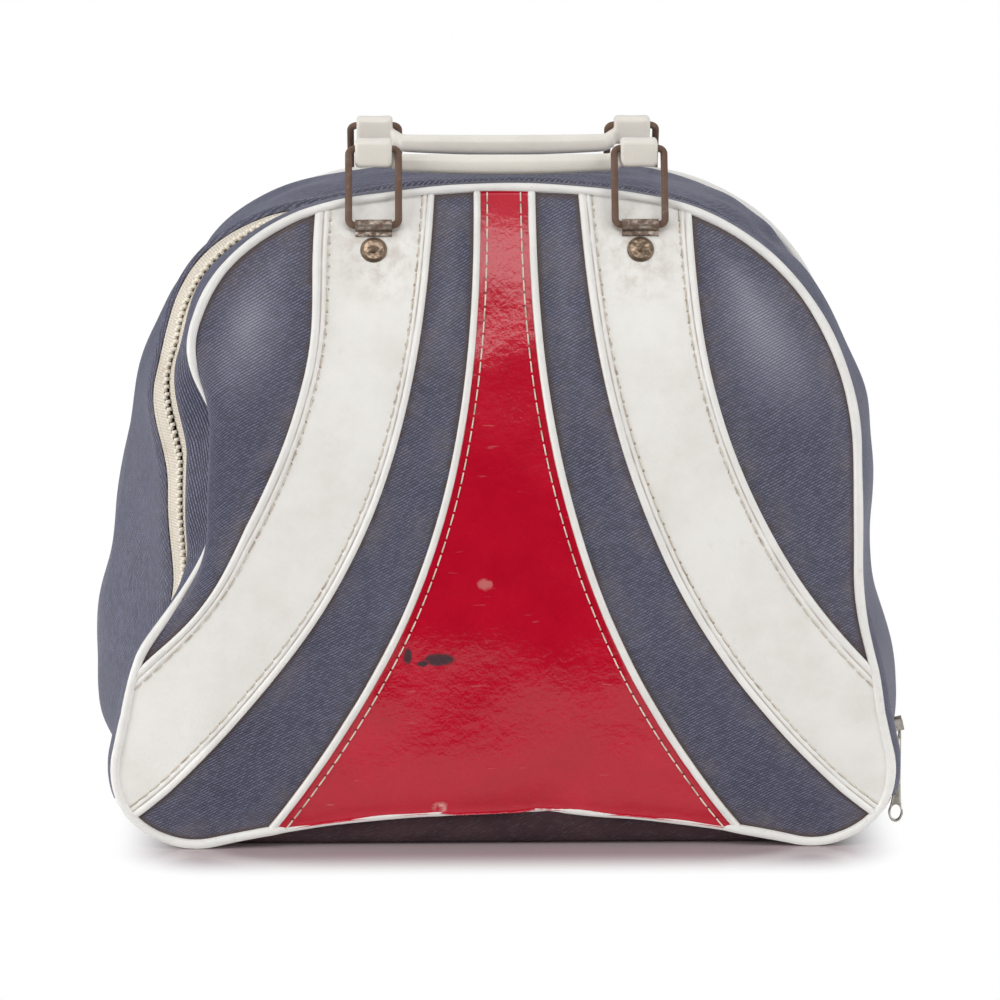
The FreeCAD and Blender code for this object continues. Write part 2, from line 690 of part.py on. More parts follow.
def pull():
    """Flat tab lying down the zip from the slider's pin, with an eye above and an oval hole below."""
    eye = PIN_RADIUS + 1.0
    neck = 3.6
    half = PULL_WIDTH / 2
    shoulder = -eye - 5.0
    low = -PULL_LENGTH
    barrel = Part.makeCylinder(eye, neck, Vector(0, -neck / 2, 0), ALONG_Y)
    points = [Vector(0, -neck / 2, 0), Vector(0, neck / 2, 0), Vector(0, neck / 2, shoulder),
              Vector(0, half, shoulder - 4.0), Vector(0, half, low + half)]
    mirrored = [Vector(0, -p.y, p.z) for p in (points[4], points[3], points[2])]
    edges = [Part.makeLine(a, b) for a, b in zip(points, points[1:])]
    edges.append(Part.Arc(points[4], Vector(0, 0, low), mirrored[0]).toShape())
    loop = mirrored + [points[0]]
    edges += [Part.makeLine(a, b) for a, b in zip(loop, loop[1:])]
    face = Part.Face(Part.Wire(edges))
    face.translate(Vector(-PULL_THICKNESS / 2, 0, 0))
    tab = face.extrude(Vector(PULL_THICKNESS, 0, 0))
    hole_radius = half * 0.5
    hole_low = low + half
    hole = Part.makeCylinder(hole_radius, 4 * PULL_THICKNESS, Vector(-2 * PULL_THICKNESS, 0, hole_low), ALONG_X)
    hole = hole.fuse(Part.makeCylinder(hole_radius, 4 * PULL_THICKNESS,
                                       Vector(-2 * PULL_THICKNESS, 0, hole_low + half), ALONG_X))
    hole = hole.fuse(Part.makeBox(4 * PULL_THICKNESS, 2 * hole_radius, half,
                                  Vector(-2 * PULL_THICKNESS, -hole_radius, hole_low)))
    bore = Part.makeCylinder(PIN_RADIUS + TURN_CLEARANCE, 2 * neck, Vector(0, -neck, 0), ALONG_Y)
    shape = barrel.fuse(tab).cut(bore).cut(hole).removeSplitter()
    shape.Placement = Placement(pull_pivot(), Rotation(ALONG_Y, -math.degrees(FLARE)))
    return shape


# ---------------------------------------------------------------- base

def base_cover():
    """Tray under the bag, turned up round all four sides behind the faces' hems."""
    reach = BASE_DEPTH / 2 - SEAM_DEPTH
    outer = bell_prism(0, False, -reach, reach)
    wall = BASE_THICKNESS
    tray = outer.cut(bell_prism(wall, False, -reach + wall, reach - wall))
    return tray.cut(above(BASE_UPSTAND))


def base_board():
    """Stiff board that lies in the tray."""
    half_x = CORNER_X - BASE_BOARD_MARGIN
    half_y = BASE_DEPTH / 2 - SEAM_DEPTH - BASE_THICKNESS - LAYER_GAP
    board = Part.makeBox(2 * half_x, 2 * half_y, BASE_BOARD_THICKNESS, Vector(-half_x, -half_y, BASE_THICKNESS))
    upright = [edge for edge in board.Edges if abs(edge.tangentAt(edge.FirstParameter).z) > 0.9]
    return board.makeFillet(2 * BASE_BOARD_MARGIN, upright)


def board_top():
    return BASE_THICKNESS + BASE_BOARD_THICKNESS


def ball_ring():
    """Wire ring that keeps the ball from rolling."""
    return Part.makeTorus(RING_RADIUS, RING_WIRE_RADIUS, Vector(0, 0, board_top() + RING_WIRE_RADIUS))


def ring_clip():
    """Strap folded over the ring, with a foot on each side, across the X axis."""
    inner = RING_WIRE_RADIUS + CLIP_PLAY
    outer = inner + CLIP_THICKNESS
    arch_z = RING_WIRE_RADIUS
    saddle = Part.makeCylinder(outer, CLIP_WIDTH, Vector(0, -CLIP_WIDTH / 2, arch_z), ALONG_Y)
    saddle = saddle.fuse(Part.makeBox(2 * outer, CLIP_WIDTH, arch_z, Vector(-outer, -CLIP_WIDTH / 2, 0)))
    feet = Part.makeBox(CLIP_LENGTH, CLIP_WIDTH, CLIP_THICKNESS, Vector(-CLIP_LENGTH / 2, -CLIP_WIDTH / 2, 0))
    hollow = Part.makeCylinder(inner, 2 * CLIP_WIDTH, Vector(0, -CLIP_WIDTH, arch_z), ALONG_Y)
    hollow = hollow.fuse(Part.makeBox(2 * inner, 2 * CLIP_WIDTH, arch_z, Vector(-inner, -CLIP_WIDTH, 0)))
    return saddle.fuse(feet).cut(hollow).common(above(0)).removeSplitter()


def round_ring(shape, angle_step=360.0 / CLIP_COUNT):
    """Copies of a shape placed round the ball ring, standing on the board."""
    copies = []
    for index in range(CLIP_COUNT):
        turn = Rotation(UP, angle_step * (index + 0.5))
        copy = shape.copy()
        copy.Placement = Placement(turn.multVec(Vector(RING_RADIUS, 0, 0)) + Vector(0, 0, board_top()), turn)
        copies.append(copy)
    return Part.makeCompound(copies)


def clip_rivets():
    """Low round heads on both feet of a clip."""
    radius = 2.6
    place = (CLIP_LENGTH / 2 + RING_WIRE_RADIUS + CLIP_THICKNESS) / 2
    heads = []
    for side in (-1, 1):
        dome = Part.makeSphere(2 * radius, Vector(side * place, 0, CLIP_THICKNESS - 1.73 * radius), UP)
        heads.append(dome.common(Part.makeBox(4 * radius, 4 * radius, 2 * radius,
                                              Vector(side * place - 2 * radius, -2 * radius, CLIP_THICKNESS))))
    return Part.makeCompound(heads)


# ---------------------------------------------------------------- assembly

def mirror_x(shape):
    return shape.mirror(Vector(), ALONG_X)


def to_rear(shape):
    """Turn a front piece into its rear twin."""
    return shape.mirror(Vector(), ALONG_Y)


def face_nodes():
    """Every piece that the front face has and the rear face repeats."""
    openings = [at_chape(slit(), side) for side in (-1, 1)]
    openings += [at_chape(rivet_hole(), side) for side in (-1, 1)]
    band = right_band()
    for opening in openings:
        band = band.cut(opening)
    cloth = face_field().common(profile_band(CLOTH_DEPTH, CLOTH_BACK))
    for opening in openings:
        cloth = cloth.cut(opening)
    red_welt = welt(RED_EDGE, -1)
    band_welts = [welt(BAND_INNER_EDGE, 1), welt(BAND_OUTER_EDGE, -1)]
    nodes = {
        "panel_cloth": cloth,
        "red_panel": red_panel(),
        "right_band": band,
        "left_band": mirror_x(band),
        "red_welts": Part.makeCompound([red_welt, mirror_x(red_welt)]),
        "right_band_welts": Part.makeCompound(band_welts),
        "left_band_welts": Part.makeCompound([mirror_x(cord) for cord in band_welts]),
        "edge_piping": edge_piping(),
        "stiffener": stiffener(),
        "rivet_washers": Part.makeCompound([at_chape(rivet_washer(), side) for side in (-1, 1)]),
        "handle": resting_handle(),
    }
    for name, side in (("left", -1), ("right", 1)):
        nodes[name + "_chape"] = at_chape(chape(), side)
        nodes[name + "_rivet"] = at_chape(rivet(), side)
        nodes[name + "_loop"] = standing_loop(side)
    return nodes


def build():
    nodes = {}
    for name, shape in face_nodes().items():
        nodes["front_" + name] = shape
        nodes["rear_" + name] = to_rear(shape)
    nodes["front_gusset"] = front_gusset()
    nodes["rear_gusset"] = rear_gusset()
    for name, side in (("front", -1), ("rear", 1)):
        nodes[name + "_zip_tape"] = zip_tape(side)
        nodes[name + "_zip_teeth"] = zip_teeth(side)
    nodes["zip_stops"] = zip_stops()
    nodes["zip_slider"] = at_slider(slider())
    nodes["zip_pull"] = pull()
    nodes["base_cover"] = base_cover()
    nodes["base_board"] = base_board()
    nodes["ball_ring"] = ball_ring()
    nodes["ring_clips"] = round_ring(ring_clip())
    nodes["ring_clip_rivets"] = round_ring(clip_rivets())
    return nodes


def main():
    os.makedirs("parts", exist_ok=True)
    for name, shape in build().items():
        shape.exportStep("parts/" + name + ".step")


main()
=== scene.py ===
"""Soft-sided bowling ball bag: every visible surface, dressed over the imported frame.

Written as a Blender add-on and run as a script.  Lengths are metres in the frame's
own axes: +X to the bag's right, +Y to its back, +Z up.  The soft faces, gussets and
piping follow the same outline and lean as the frame's solids, then settle a little
out of true, as a used bag does.
"""
import math

import bpy
import numpy as np
from bpy.props import FloatProperty, FloatVectorProperty, PointerProperty
from bpy.types import Operator, Panel, PropertyGroup
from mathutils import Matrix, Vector


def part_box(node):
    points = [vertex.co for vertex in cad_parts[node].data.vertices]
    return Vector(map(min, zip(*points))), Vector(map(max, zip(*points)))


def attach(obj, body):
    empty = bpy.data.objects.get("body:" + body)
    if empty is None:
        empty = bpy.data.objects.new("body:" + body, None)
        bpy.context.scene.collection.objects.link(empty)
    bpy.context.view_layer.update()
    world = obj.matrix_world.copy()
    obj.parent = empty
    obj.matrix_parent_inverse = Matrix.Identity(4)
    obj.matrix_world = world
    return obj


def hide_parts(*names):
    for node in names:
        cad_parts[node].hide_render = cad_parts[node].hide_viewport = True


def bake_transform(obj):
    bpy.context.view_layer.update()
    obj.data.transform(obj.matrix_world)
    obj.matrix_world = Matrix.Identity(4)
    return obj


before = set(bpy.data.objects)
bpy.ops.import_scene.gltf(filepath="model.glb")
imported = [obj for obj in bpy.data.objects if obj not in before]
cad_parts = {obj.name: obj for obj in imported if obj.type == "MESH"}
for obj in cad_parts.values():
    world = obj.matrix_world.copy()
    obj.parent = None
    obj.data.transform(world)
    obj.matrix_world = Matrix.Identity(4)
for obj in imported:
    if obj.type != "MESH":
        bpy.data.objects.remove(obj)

bl_info = {
    "name": "Bowling ball bag",
    "version": (1, 0, 0),
    "blender": (4, 5, 0),
    "location": "3D View > Sidebar > Bag",
    "description": "Builds the cloth, vinyl, piping, zip and fittings of a bowling ball bag",
    "category": "Object",
}

MM = 0.001
FULL_TURN = 2 * math.pi
SIDES = {"front": -1, "rear": 1}
HANDS = {"left": -1, "right": 1}
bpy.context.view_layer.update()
PIPING_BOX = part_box("front_edge_piping")
BASE_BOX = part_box("base_cover")
RIVET_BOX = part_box("front_right_rivet")
RIVET_MIDDLE = ((RIVET_BOX[0].x + RIVET_BOX[1].x) / 2, (RIVET_BOX[0].z + RIVET_BOX[1].z) / 2)
STRIP_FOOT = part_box("front_gusset")[0].z
BOARD_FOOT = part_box("front_stiffener")[0].z


# ---------------------------------------------------------------- sizes and colours

def length(name, description, default):
    return FloatProperty(name=name, description=description, default=default, unit="LENGTH", precision=4)


def colour(name, description, default):
    return FloatVectorProperty(name=name, description=description, default=default,
                               subtype="COLOR", size=3, min=0.0, max=1.0)


class BagSizes(PropertyGroup):
    """Outline, lean and trim of the bag."""

    half_base: length("Half base", "Half the width over the piping at the base", PIPING_BOX[1].x)
    half_waist: length("Half waist", "Half the width over the piping at the waist", 0.1585)
    height: length("Height", "Height of the faces over the piping", PIPING_BOX[1].z)
    half_depth: length("Half depth", "Half the depth of the base", -PIPING_BOX[0].y)
    waist_height: length("Waist height", "Height where the flare meets the waist", 0.112)
    corner_radius: length("Corner radius", "Radius of the lower corners", 0.0365)
    waist_radius: length("Waist radius", "Radius of the hollow at the waist", 0.150)
    shoulder_radius: length("Shoulder radius", "Radius of the upper corners", 0.107)
    crown: length("Crown", "Rise of the top edge between the shoulders", 0.004)
    hem_arch: length("Hem arch", "Rise of the hem between the lower corners", 0.015)
    knee_height: length("Knee height", "Height where the faces start to lean in", 0.070)
    piping_radius: length("Piping radius", "Radius of the cord in the face's seam", 0.0021)
    skin_depth: length("Skin depth", "Depth of the vinyl's surface behind the piping", 0.0012)
    cloth_depth: length("Cloth depth", "Depth of the cloth's surface behind the piping", 0.0020)
    cloth_thickness: length("Cloth thickness", "Thickness of the face's cloth", 0.0016)
    board_depth: length("Board depth", "Depth of the stiffener behind the piping", 0.0040)
    swell: length("Swell", "How far the face's cloth crowns between its seams", 0.0022)
    welt_rise: length("Welt rise", "Height of the welts over the vinyl", 0.0010)
    band_stitch: length("Band stitch line", "Distance of the bands' stitches from their edge", 0.0058)
    red_stitch: length("Red stitch line", "Distance of the middle panel's stitches from its edge", 0.0066)
    stitch_pitch: length("Stitch pitch", "Length of one stitch", 0.0062)
    thread_radius: length("Thread radius", "Radius of the sewing thread", 0.00036)
    fold: length("Left fold", "How far the left edge of the front face is tucked in", 0.036)
    belly: length("Belly", "How far the left side bulges out", 0.0085)
    gusset_bulge: length("Gusset bulge", "How far the rear gusset stands out low down", 0.017)
    proud_zip: length("Proud zip", "How far the zip stands out on the left", 0.0086)
    valley: length("Zip valley", "How deep the zip lies between its two strips", 0.007)


class BagColours(PropertyGroup):
    """Base colours of the bag's materials."""

    navy: colour("Navy", "Embossed cloth", (0.025, 0.025, 0.047))
    navy_light: colour("Worn navy", "Raised threads of the cloth", (0.143, 0.145, 0.230))
    dust: colour("Dust", "Brown wear beside the seams", (0.215, 0.165, 0.135))
    white: colour("White vinyl", "Bands and welts", (0.815, 0.795, 0.755))
    piping: colour("Piping", "Piping", (0.820, 0.800, 0.765))
    soil: colour("Soil", "Brown dirt in stitches and folds", (0.300, 0.185, 0.095))
    red: colour("Red vinyl", "Middle panel", (0.440, 0.002, 0.018))
    cream: colour("Cream", "Zip tape and thread", (0.870, 0.790, 0.670))
    moulding: colour("Moulding", "Handles", (0.790, 0.745, 0.670))
    rust: colour("Rust", "Wire loops", (0.150, 0.088, 0.062))
    brass: colour("Brass", "Rivets", (0.330, 0.240, 0.170))
    steel: colour("Steel", "Chapes and clips", (0.500, 0.430, 0.360))
    board: colour("Board", "Stiffeners and base board", (0.180, 0.150, 0.120))


class StageSettings(PropertyGroup):
    """Floor and camera."""

    floor_size: length("Floor size", "Width of the white table", 3.0)
    floor_front: length("Floor front", "How far the table reaches in front of the bag's middle", 0.52)
    camera_azimuth: FloatProperty(name="Azimuth", description="Direction that the camera looks along",
                                  default=math.radians(-1.0), subtype="ANGLE")
    camera_elevation: FloatProperty(name="Elevation", description="Height of the camera over the horizon",
                                    default=math.radians(12.0), subtype="ANGLE")
    camera_distance: length("Distance", "Distance from the camera to its target", 2.291)
    camera_lens: FloatProperty(name="Lens", description="Focal length in millimetres", default=185.0)


def sizes():
    return bpy.context.scene.bag_sizes


def colours():
    return bpy.context.scene.bag_colours


def ramp(values, start, end):
    """0 before start, 1 after end and smooth between them; start may be above end."""
    share = np.clip((values - start) / (end - start), 0, 1)
    return share * share * (3 - 2 * share)


def hill(values, middle, reach):
    """1 at middle, falling smoothly to 0 at a distance of about two reaches."""
    return np.exp(-((values - middle) / reach) ** 2)


def ripple(a, b, wavelength, seed=0.0):
    """Uneven waves over a plane, about 1 high, the same on every run."""
    total, count = 0.0, 9
    for index in range(count):
        turn = 2.4 * index + seed
        rate = FULL_TURN / wavelength * (0.65 + 0.7 * (0.618 * index % 1))
        total = total + np.sin(rate * (a * math.cos(turn) + b * math.sin(turn)) + 1.7 * index + 3.1 * seed)
    return total / math.sqrt(count)


def together(*axes):
    """Numbers and grids of numbers as the coordinates of one grid of points."""
    return np.stack(np.broadcast_arrays(*axes), -1)


def walked(*axes):
    """Length walked so far at each point of a path, or of each row of a grid, from its coordinates."""
    steps = np.sqrt(sum(np.diff(axis) ** 2 for axis in axes))
    return np.concatenate([np.zeros(steps.shape[:-1] + (1,)), np.cumsum(steps, -1)], -1)


# ---------------------------------------------------------------- outline and lean

OUTLINE_STEP = 0.5 * MM


def arc_run(x, z, radius, start, end, outward=1):
    """Points and outward normals along an arc; outward is -1 where the bag lies outside the circle."""
    angle = np.linspace(start, end, max(3, int(abs(end - start) * radius / OUTLINE_STEP)))
    cos, sin = np.cos(angle), np.sin(angle)
    return together(x + radius * cos, z + radius * sin, outward * cos, outward * sin)


def line_run(start, end, angle):
    """Points and outward normals along a straight line; angle is the direction of its normal."""
    count = max(3, int(math.dist(start, end) / OUTLINE_STEP))
    x, z = np.linspace(start, end, count).T
    return together(x, z, math.cos(angle), math.sin(angle))


def long_radius(x, level, radius, rise):
    """Radius of the long arc that runs into a corner's arc: level is from its top to the corner's centre."""
    return (x ** 2 + level ** 2 - radius ** 2) / (2 * rise)


class Outline:
    """Right half of the bell from the top middle down: x, z, outward normal and length."""

    def __init__(self, arched):
        s = sizes()
        corner_x = s.half_base - s.corner_radius
        shoulder_x = s.half_waist - s.shoulder_radius
        shoulder_z = s.height - s.shoulder_radius - s.crown
        top_radius = long_radius(shoulder_x, s.shoulder_radius + s.crown, s.shoulder_radius, s.crown)
        run, rise = s.half_waist - corner_x, s.waist_height - s.corner_radius
        flare = math.atan2(rise, run) - math.acos(s.corner_radius / math.hypot(run, rise))
        lean = math.atan2(shoulder_z - s.height + top_radius, shoulder_x)
        hollow_x = s.half_waist + s.waist_radius
        hollow_z = s.waist_height + s.waist_radius * math.tan(flare / 2)
        top = arc_run(0, s.height - top_radius, top_radius, math.pi / 2, lean)
        shoulder = arc_run(shoulder_x, shoulder_z, s.shoulder_radius, lean, 0)
        side = line_run((s.half_waist, shoulder_z), (s.half_waist, hollow_z), 0)
        hollow = arc_run(hollow_x, hollow_z, s.waist_radius, math.pi, math.pi + flare, -1)
        if arched:
            arch_radius = long_radius(corner_x, s.corner_radius - s.hem_arch, s.corner_radius, s.hem_arch)
            arch_z = s.hem_arch - arch_radius
            turn = math.atan2(s.corner_radius - arch_z, corner_x)
            corner = arc_run(corner_x, s.corner_radius, s.corner_radius, flare, turn - math.pi)
            foot = arc_run(0, arch_z, arch_radius, turn, math.pi / 2, -1)
        else:
            corner = arc_run(corner_x, s.corner_radius, s.corner_radius, flare, -math.pi / 2)
            foot = line_run((corner_x, 0), (0, 0), -math.pi / 2)
        skirt = line_run(hollow[-1, :2], corner[0, :2], flare)
        later = [shoulder, side, hollow, skirt, corner, foot]
        self.table = np.vstack([top] + [run[1:] for run in later])
        self.along = walked(*self.table.T[:2])
        self.total = self.along[-1]

    def at(self, along):
        """x, z and outward normal at signed lengths from the top middle; negative is the left side."""
        sign = np.where(along < 0, -1.0, 1.0)
        x, z, normal_x, normal_z = (np.interp(np.abs(along), self.along, column) for column in self.table.T)
        return sign * x, z, sign * normal_x, normal_z

    def length_to(self, height):
        """Length from the top middle down to a height on the lower side."""
        return self.along[np.argmax(self.table[:, 1] <= height)]

    def inset(self, x, z):
        """Distance inside the outline, positive within it."""
        shape, batch = x.shape, 4000
        x, z = np.abs(x).ravel(), z.ravel()
        table = self.table[::3]
        nearest = np.empty(len(x), int)
        for start in range(0, len(x), batch):
            part = slice(start, start + batch)
            gap = (x[part, None] - table[:, 0]) ** 2 + (z[part, None] - table[:, 1]) ** 2
            nearest[part] = gap.argmin(1)
        edge_x, edge_z, normal_x, normal_z = table[nearest].T
        return -((x - edge_x) * normal_x + (z - edge_z) * normal_z).reshape(shape)


OUTLINES = {}


def outline(arched=True):
    """The face's outline, whose hem is arched, or the flat-bottomed one of the gussets and base."""
    if arched not in OUTLINES:
        OUTLINES[arched] = Outline(arched)
    return OUTLINES[arched]


TOP_PIPING_DEPTH = 4 * MM


def lean_back(z):
    """How far a face has leaned in at a height."""
    s = sizes()
    rise, run = s.height - s.knee_height, s.half_depth + PIPING_BOX[1].y - TOP_PIPING_DEPTH
    radius = (rise ** 2 + run ** 2) / (2 * run)
    return radius - np.sqrt(radius ** 2 - np.clip(z - s.knee_height, 0, None) ** 2)


def front_y(z, depth=0.0):
    return -sizes().half_depth + lean_back(z) + depth


# ---------------------------------------------------------------- how the soft bag settles

FOLD_REACH = [4 * MM, 20 * MM, 46 * MM, 100 * MM]
FOLD_FOOT = (0.086, 0.146)
FOLD_EASE = (0.184, 0.232)
FOLD_TOP = (0.232, 0.274)
FOLD_SLANT = 0.8
FOLD_WIDTH = 45 * MM
FOLD_INNER_EDGE = 116 * MM
FOLD_BACKWARDS = 0.55


def tucked_edge(x, z, depth):
    """The left edge of the front face is pushed in and behind a rolled fold of its own cloth."""
    s = sizes()
    level = z + FOLD_SLANT * np.clip(depth - FOLD_REACH[0], 0, 0.040)
    tall = ramp(level, *FOLD_FOOT) * (1 - 0.72 * ramp(level, *FOLD_EASE)) * (1 - ramp(level, *FOLD_TOP))
    behind = ramp(depth, 3 * MM, 8 * MM) * np.clip(s.half_waist + x, -12 * MM, 6 * MM)
    share = np.clip((behind - x - FOLD_INNER_EDGE) / FOLD_WIDTH, 0, 1)
    inwards = tall * (0.2 * share + 0.8 * share ** 3) * np.interp(depth, FOLD_REACH, [1, 0.56, 0.36, 0])
    backwards = tall * share ** 4 * np.interp(depth, FOLD_REACH, [1, 0.5, 0.25, 0])
    return s.fold * inwards, FOLD_BACKWARDS * s.fold * backwards


def side_belly(x, z, depth):
    """The left side bulges low down, behind the fold."""
    middle = hill(z, 0.088, 0.060) * ramp(z, 0.004, 0.040)
    across = ramp(depth, 0.030, 0.095) * (1 - ramp(depth, 0.130, 0.215))
    return sizes().belly * middle * across * ramp(-x, 0.10, 0.16)


def face_swell(x, z, inset):
    """Outward crowning and slack of the face's cloth, none at its seams and chapes."""
    held = hill(np.abs(x), RIVET_BOX[0].x + 6 * MM, 0.030) * ramp(z, 0.225, 0.250)
    crown = 1 - np.exp(-np.clip(inset, 0, None) / 0.010)
    slack = 0.55 * MM * ripple(x, z, 0.085, 0.4) + 0.30 * MM * ripple(x, z, 0.038, 1.3)
    return (1 - held) * crown * (sizes().swell + slack)


def hem_dents(x, z):
    """Pushed-in and puffed-out places low in the middle of the front face."""
    dent = -3.2 * MM * hill(x, 0.020, 0.020) * hill(z, 0.018, 0.018)
    puff = 2.0 * MM * hill(x, -0.016, 0.020) * hill(z, 0.040, 0.024)
    ridge = 1.4 * MM * hill(x - 0.35 * (z - 0.03), 0.046, 0.013) * hill(z, 0.030, 0.026)
    return dent + puff + ridge


# How far the cloth has crept to the right, in millimetres, at each of these heights.
SLUMP_HEIGHTS = np.array([0, 13, 25, 40, 70, 90, 113, 150, 200, 222, 245, 265, 290]) * MM
SLUMP_LEFT_EDGE = [-7, -6, -4, -3.6, -4.6, -1.1, 0, -1, 1, 1.8, -1.7, -3.8, -2]
SLUMP_LEFT_BAND = [-2, -2, -2, -1.8, -1, 0.8, 2.2, 3.1, 2.7, 2.7, 2.8, 2.8, 2.8]
SLUMP_MIDDLE = [-1.7, -1.7, -1.7, -1.7, -1.7, -1.7, -1.7, -1.6, -1.6, -1.6, -1.6, -1.6, -1.6]
SLUMP_RIGHT_BAND = [-2, -2.5, -3, -3.5, -4.1, -3.9, -3.4, -1.5, -0.9, -0.8, -0.6, -0.6, -0.6]
SLUMP_RIGHT_EDGE = [1, 2, -0.8, -1.8, -0.7, -1.6, -1.9, -1.7, -2.2, -2.2, -1.4, -1.2, -0.8]
SLUMP_SPREAD = np.array([-12, -6, 0, 6, 12]) * MM
EDGE_REACH = 30 * MM
SHOULDER_DROP = 0.6 * MM


def slump(x, z):
    """How far the face's cloth has crept sideways, between its edges, bands and middle."""
    left_edge, left_band, middle, right_band, right_edge = (
        sum(np.interp(z + step, SLUMP_HEIGHTS, row) for step in SLUMP_SPREAD) * MM / len(SLUMP_SPREAD)
        for row in (SLUMP_LEFT_EDGE, SLUMP_LEFT_BAND, SLUMP_MIDDLE, SLUMP_RIGHT_BAND, SLUMP_RIGHT_EDGE))
    inner, outer = stripe(BAND_INNER_EDGE)(z)[0], stripe(BAND_OUTER_EDGE)(z)[0]
    band = np.minimum((inner + outer) / 2, 0.150)
    shift = middle
    for way, band_shift, edge_shift in ((1, right_band, right_edge), (-1, left_band, left_edge)):
        shift = shift + (band_shift - middle) * np.clip(way * x / band, 0, 1)
        shift = shift + (edge_shift - band_shift) * np.clip((way * x - band) / EDGE_REACH, 0, 1)
    return shift


def side_slump(x, z, depth):
    """Behind the zip the right side falls in at its shoulder and waist, and the left shoulder stands out."""
    right = ramp(depth, 0.024, 0.070) * (1 - ramp(depth, 0.150, 0.225)) * ramp(x, 0.05, 0.13)
    left = ramp(depth, 0.024, 0.060) * (1 - ramp(depth, 0.090, 0.160)) * ramp(-x, 0.05, 0.10)
    waist, shoulder = 5.8 * MM * hill(z, 0.095, 0.040), 6 * MM * hill(z, 0.228, 0.045)
    return -right * (waist + shoulder) - 6 * MM * left * hill(z, 0.264, 0.026)


def settle(points):
    """Move points of the true shape to where the used bag's soft parts lie."""
    x, y, z = np.moveaxis(points, -1, 0)
    depth = y - front_y(z)
    inwards, backwards = tucked_edge(x, z, depth)
    face = 1 - ramp(depth, 0.010, 0.060)
    moved = points.copy()
    moved[..., 0] += inwards - side_belly(x, z, depth) + slump(x, z) * face + side_slump(x, z, depth)
    moved[..., 1] += backwards
    moved[..., 2] -= SHOULDER_DROP * ramp(x, 0.02, 0.10) * ramp(z, 0.19, 0.27) * face
    return moved


def on_face(side, x, z, depth):
    """Points at a depth behind the front or rear face, with that face's crowning and settling."""
    x, z, depth = np.broadcast_arrays(x, z, depth)
    out = face_swell(x, z, outline().inset(x, z) - 2 * sizes().piping_radius)
    if side == "front":
        return settle(together(x, front_y(z, depth) - (out + hem_dents(x, z)), z))
    return together(x, out - front_y(z, depth), z)


# ---------------------------------------------------------------- stripes

# Each edge's half width at the top, its even and its flaring growth down to the hem, and the flare's power.
RED_EDGE = (14.3 * MM, 0.0, 99.0 * MM, 2.4)
BAND_INNER_EDGE = (32.8 * MM, 22.0 * MM, 124.0 * MM, 2.6)
BAND_OUTER_EDGE = (83.3 * MM, 10.0 * MM, 172.0 * MM, 2.6)


def stripe(edge, shift=0.0, hand=1):
    """Rule that gives x and z along a stripe's edge, moved outwards by shift."""
    top, lean, flare, power = edge
    height, step = sizes().height, 0.5 * MM

    def half_width(z):
        share = np.clip((height - z) / height, 0, None)
        return top + lean * share + flare * share ** power

    def at(z):
        run = (half_width(z + step) - half_width(z - step)) / (2 * step)
        size = np.hypot(1, run)
        return hand * (half_width(z) + shift / size), z - shift * run / size
    return at


def hem_cover(x, z):
    """How far the red panel comes down over the piping along the hem; fully in the middle."""
    along = (1 - ramp(z, 0.024, 0.034)) * (1 - ramp(np.abs(x), 0.098, 0.104))
    return along * (0.62 + 0.38 * (1 - ramp(np.abs(x + 0.008), 0.014, 0.022)))


SKIN_INSET = 3.2 * MM
HEM_OVERLAP = 2.6 * MM
STRIPE_HEIGHTS = 500


def strip(first, second, across, count):
    """Grid of x and z between two edge rules, as far as the piping, or over it along the hem's middle."""
    heights = np.linspace(-8 * MM, sizes().height + 6 * MM, STRIPE_HEIGHTS)
    share = across[:, None]
    x, z = (start * (1 - share) + end * share for start, end in zip(first(heights), second(heights)))
    inside = outline().inset(x, z) - (SKIN_INSET - HEM_OVERLAP * hem_cover(x, z))
    index = np.arange(len(heights))
    rows = []
    for line_x, line_z, room in zip(x, z, inside):
        start, end = np.flatnonzero(room > 0)[[0, -1]]
        low = start - room[start] / (room[start] - room[start - 1]) if start else 0.0
        high = end + room[end] / (room[end] - room[end + 1])
        place = np.linspace(low, high, count)
        rows.append((np.interp(place, index, line_x), np.interp(place, index, line_z)))
    return np.array(rows).transpose(1, 0, 2)


# ---------------------------------------------------------------- mesh helpers

def new_object(name, vertices, faces, layers=None):
    """Smooth mesh object with named pairs of surface coordinates, one pair for each vertex."""
    mesh = bpy.data.meshes.new(name)
    mesh.from_pydata([tuple(v) for v in vertices], [], [tuple(int(i) for i in f) for f in faces])
    mesh.validate()
    loops = np.empty(len(mesh.loops), np.int32)
    mesh.loops.foreach_get("vertex_index", loops)
    for layer, values in (layers or {}).items():
        spread = np.asarray(values, np.float32)[loops]
        mesh.uv_layers.new(name=layer).data.foreach_set("uv", spread.ravel())
    mesh.polygons.foreach_set("use_smooth", np.ones(len(mesh.polygons), bool))
    mesh.update()
    made = bpy.data.objects.new(name, mesh)
    bpy.context.scene.collection.objects.link(made)
    return made


def grid_faces(rows, columns, wrap_columns, wrap_rows=False):
    """Quads of a grid of points numbered row by row."""
    i = np.arange(rows if wrap_rows else rows - 1)
    j = np.arange(columns if wrap_columns else columns - 1)
    i, j = (a.ravel() for a in np.meshgrid(i, j, indexing="ij"))
    next_i, next_j = (i + 1) % rows, (j + 1) % columns
    return together(i * columns + j, next_i * columns + j, next_i * columns + next_j, i * columns + next_j)


def capped_faces(rings, around):
    """Faces of a tube of rings with both its ends closed."""
    last = (rings - 1) * around
    ends = [tuple(range(around)), tuple(range(last, last + around))[::-1]]
    return [tuple(face) for face in grid_faces(rings, around, True)] + ends


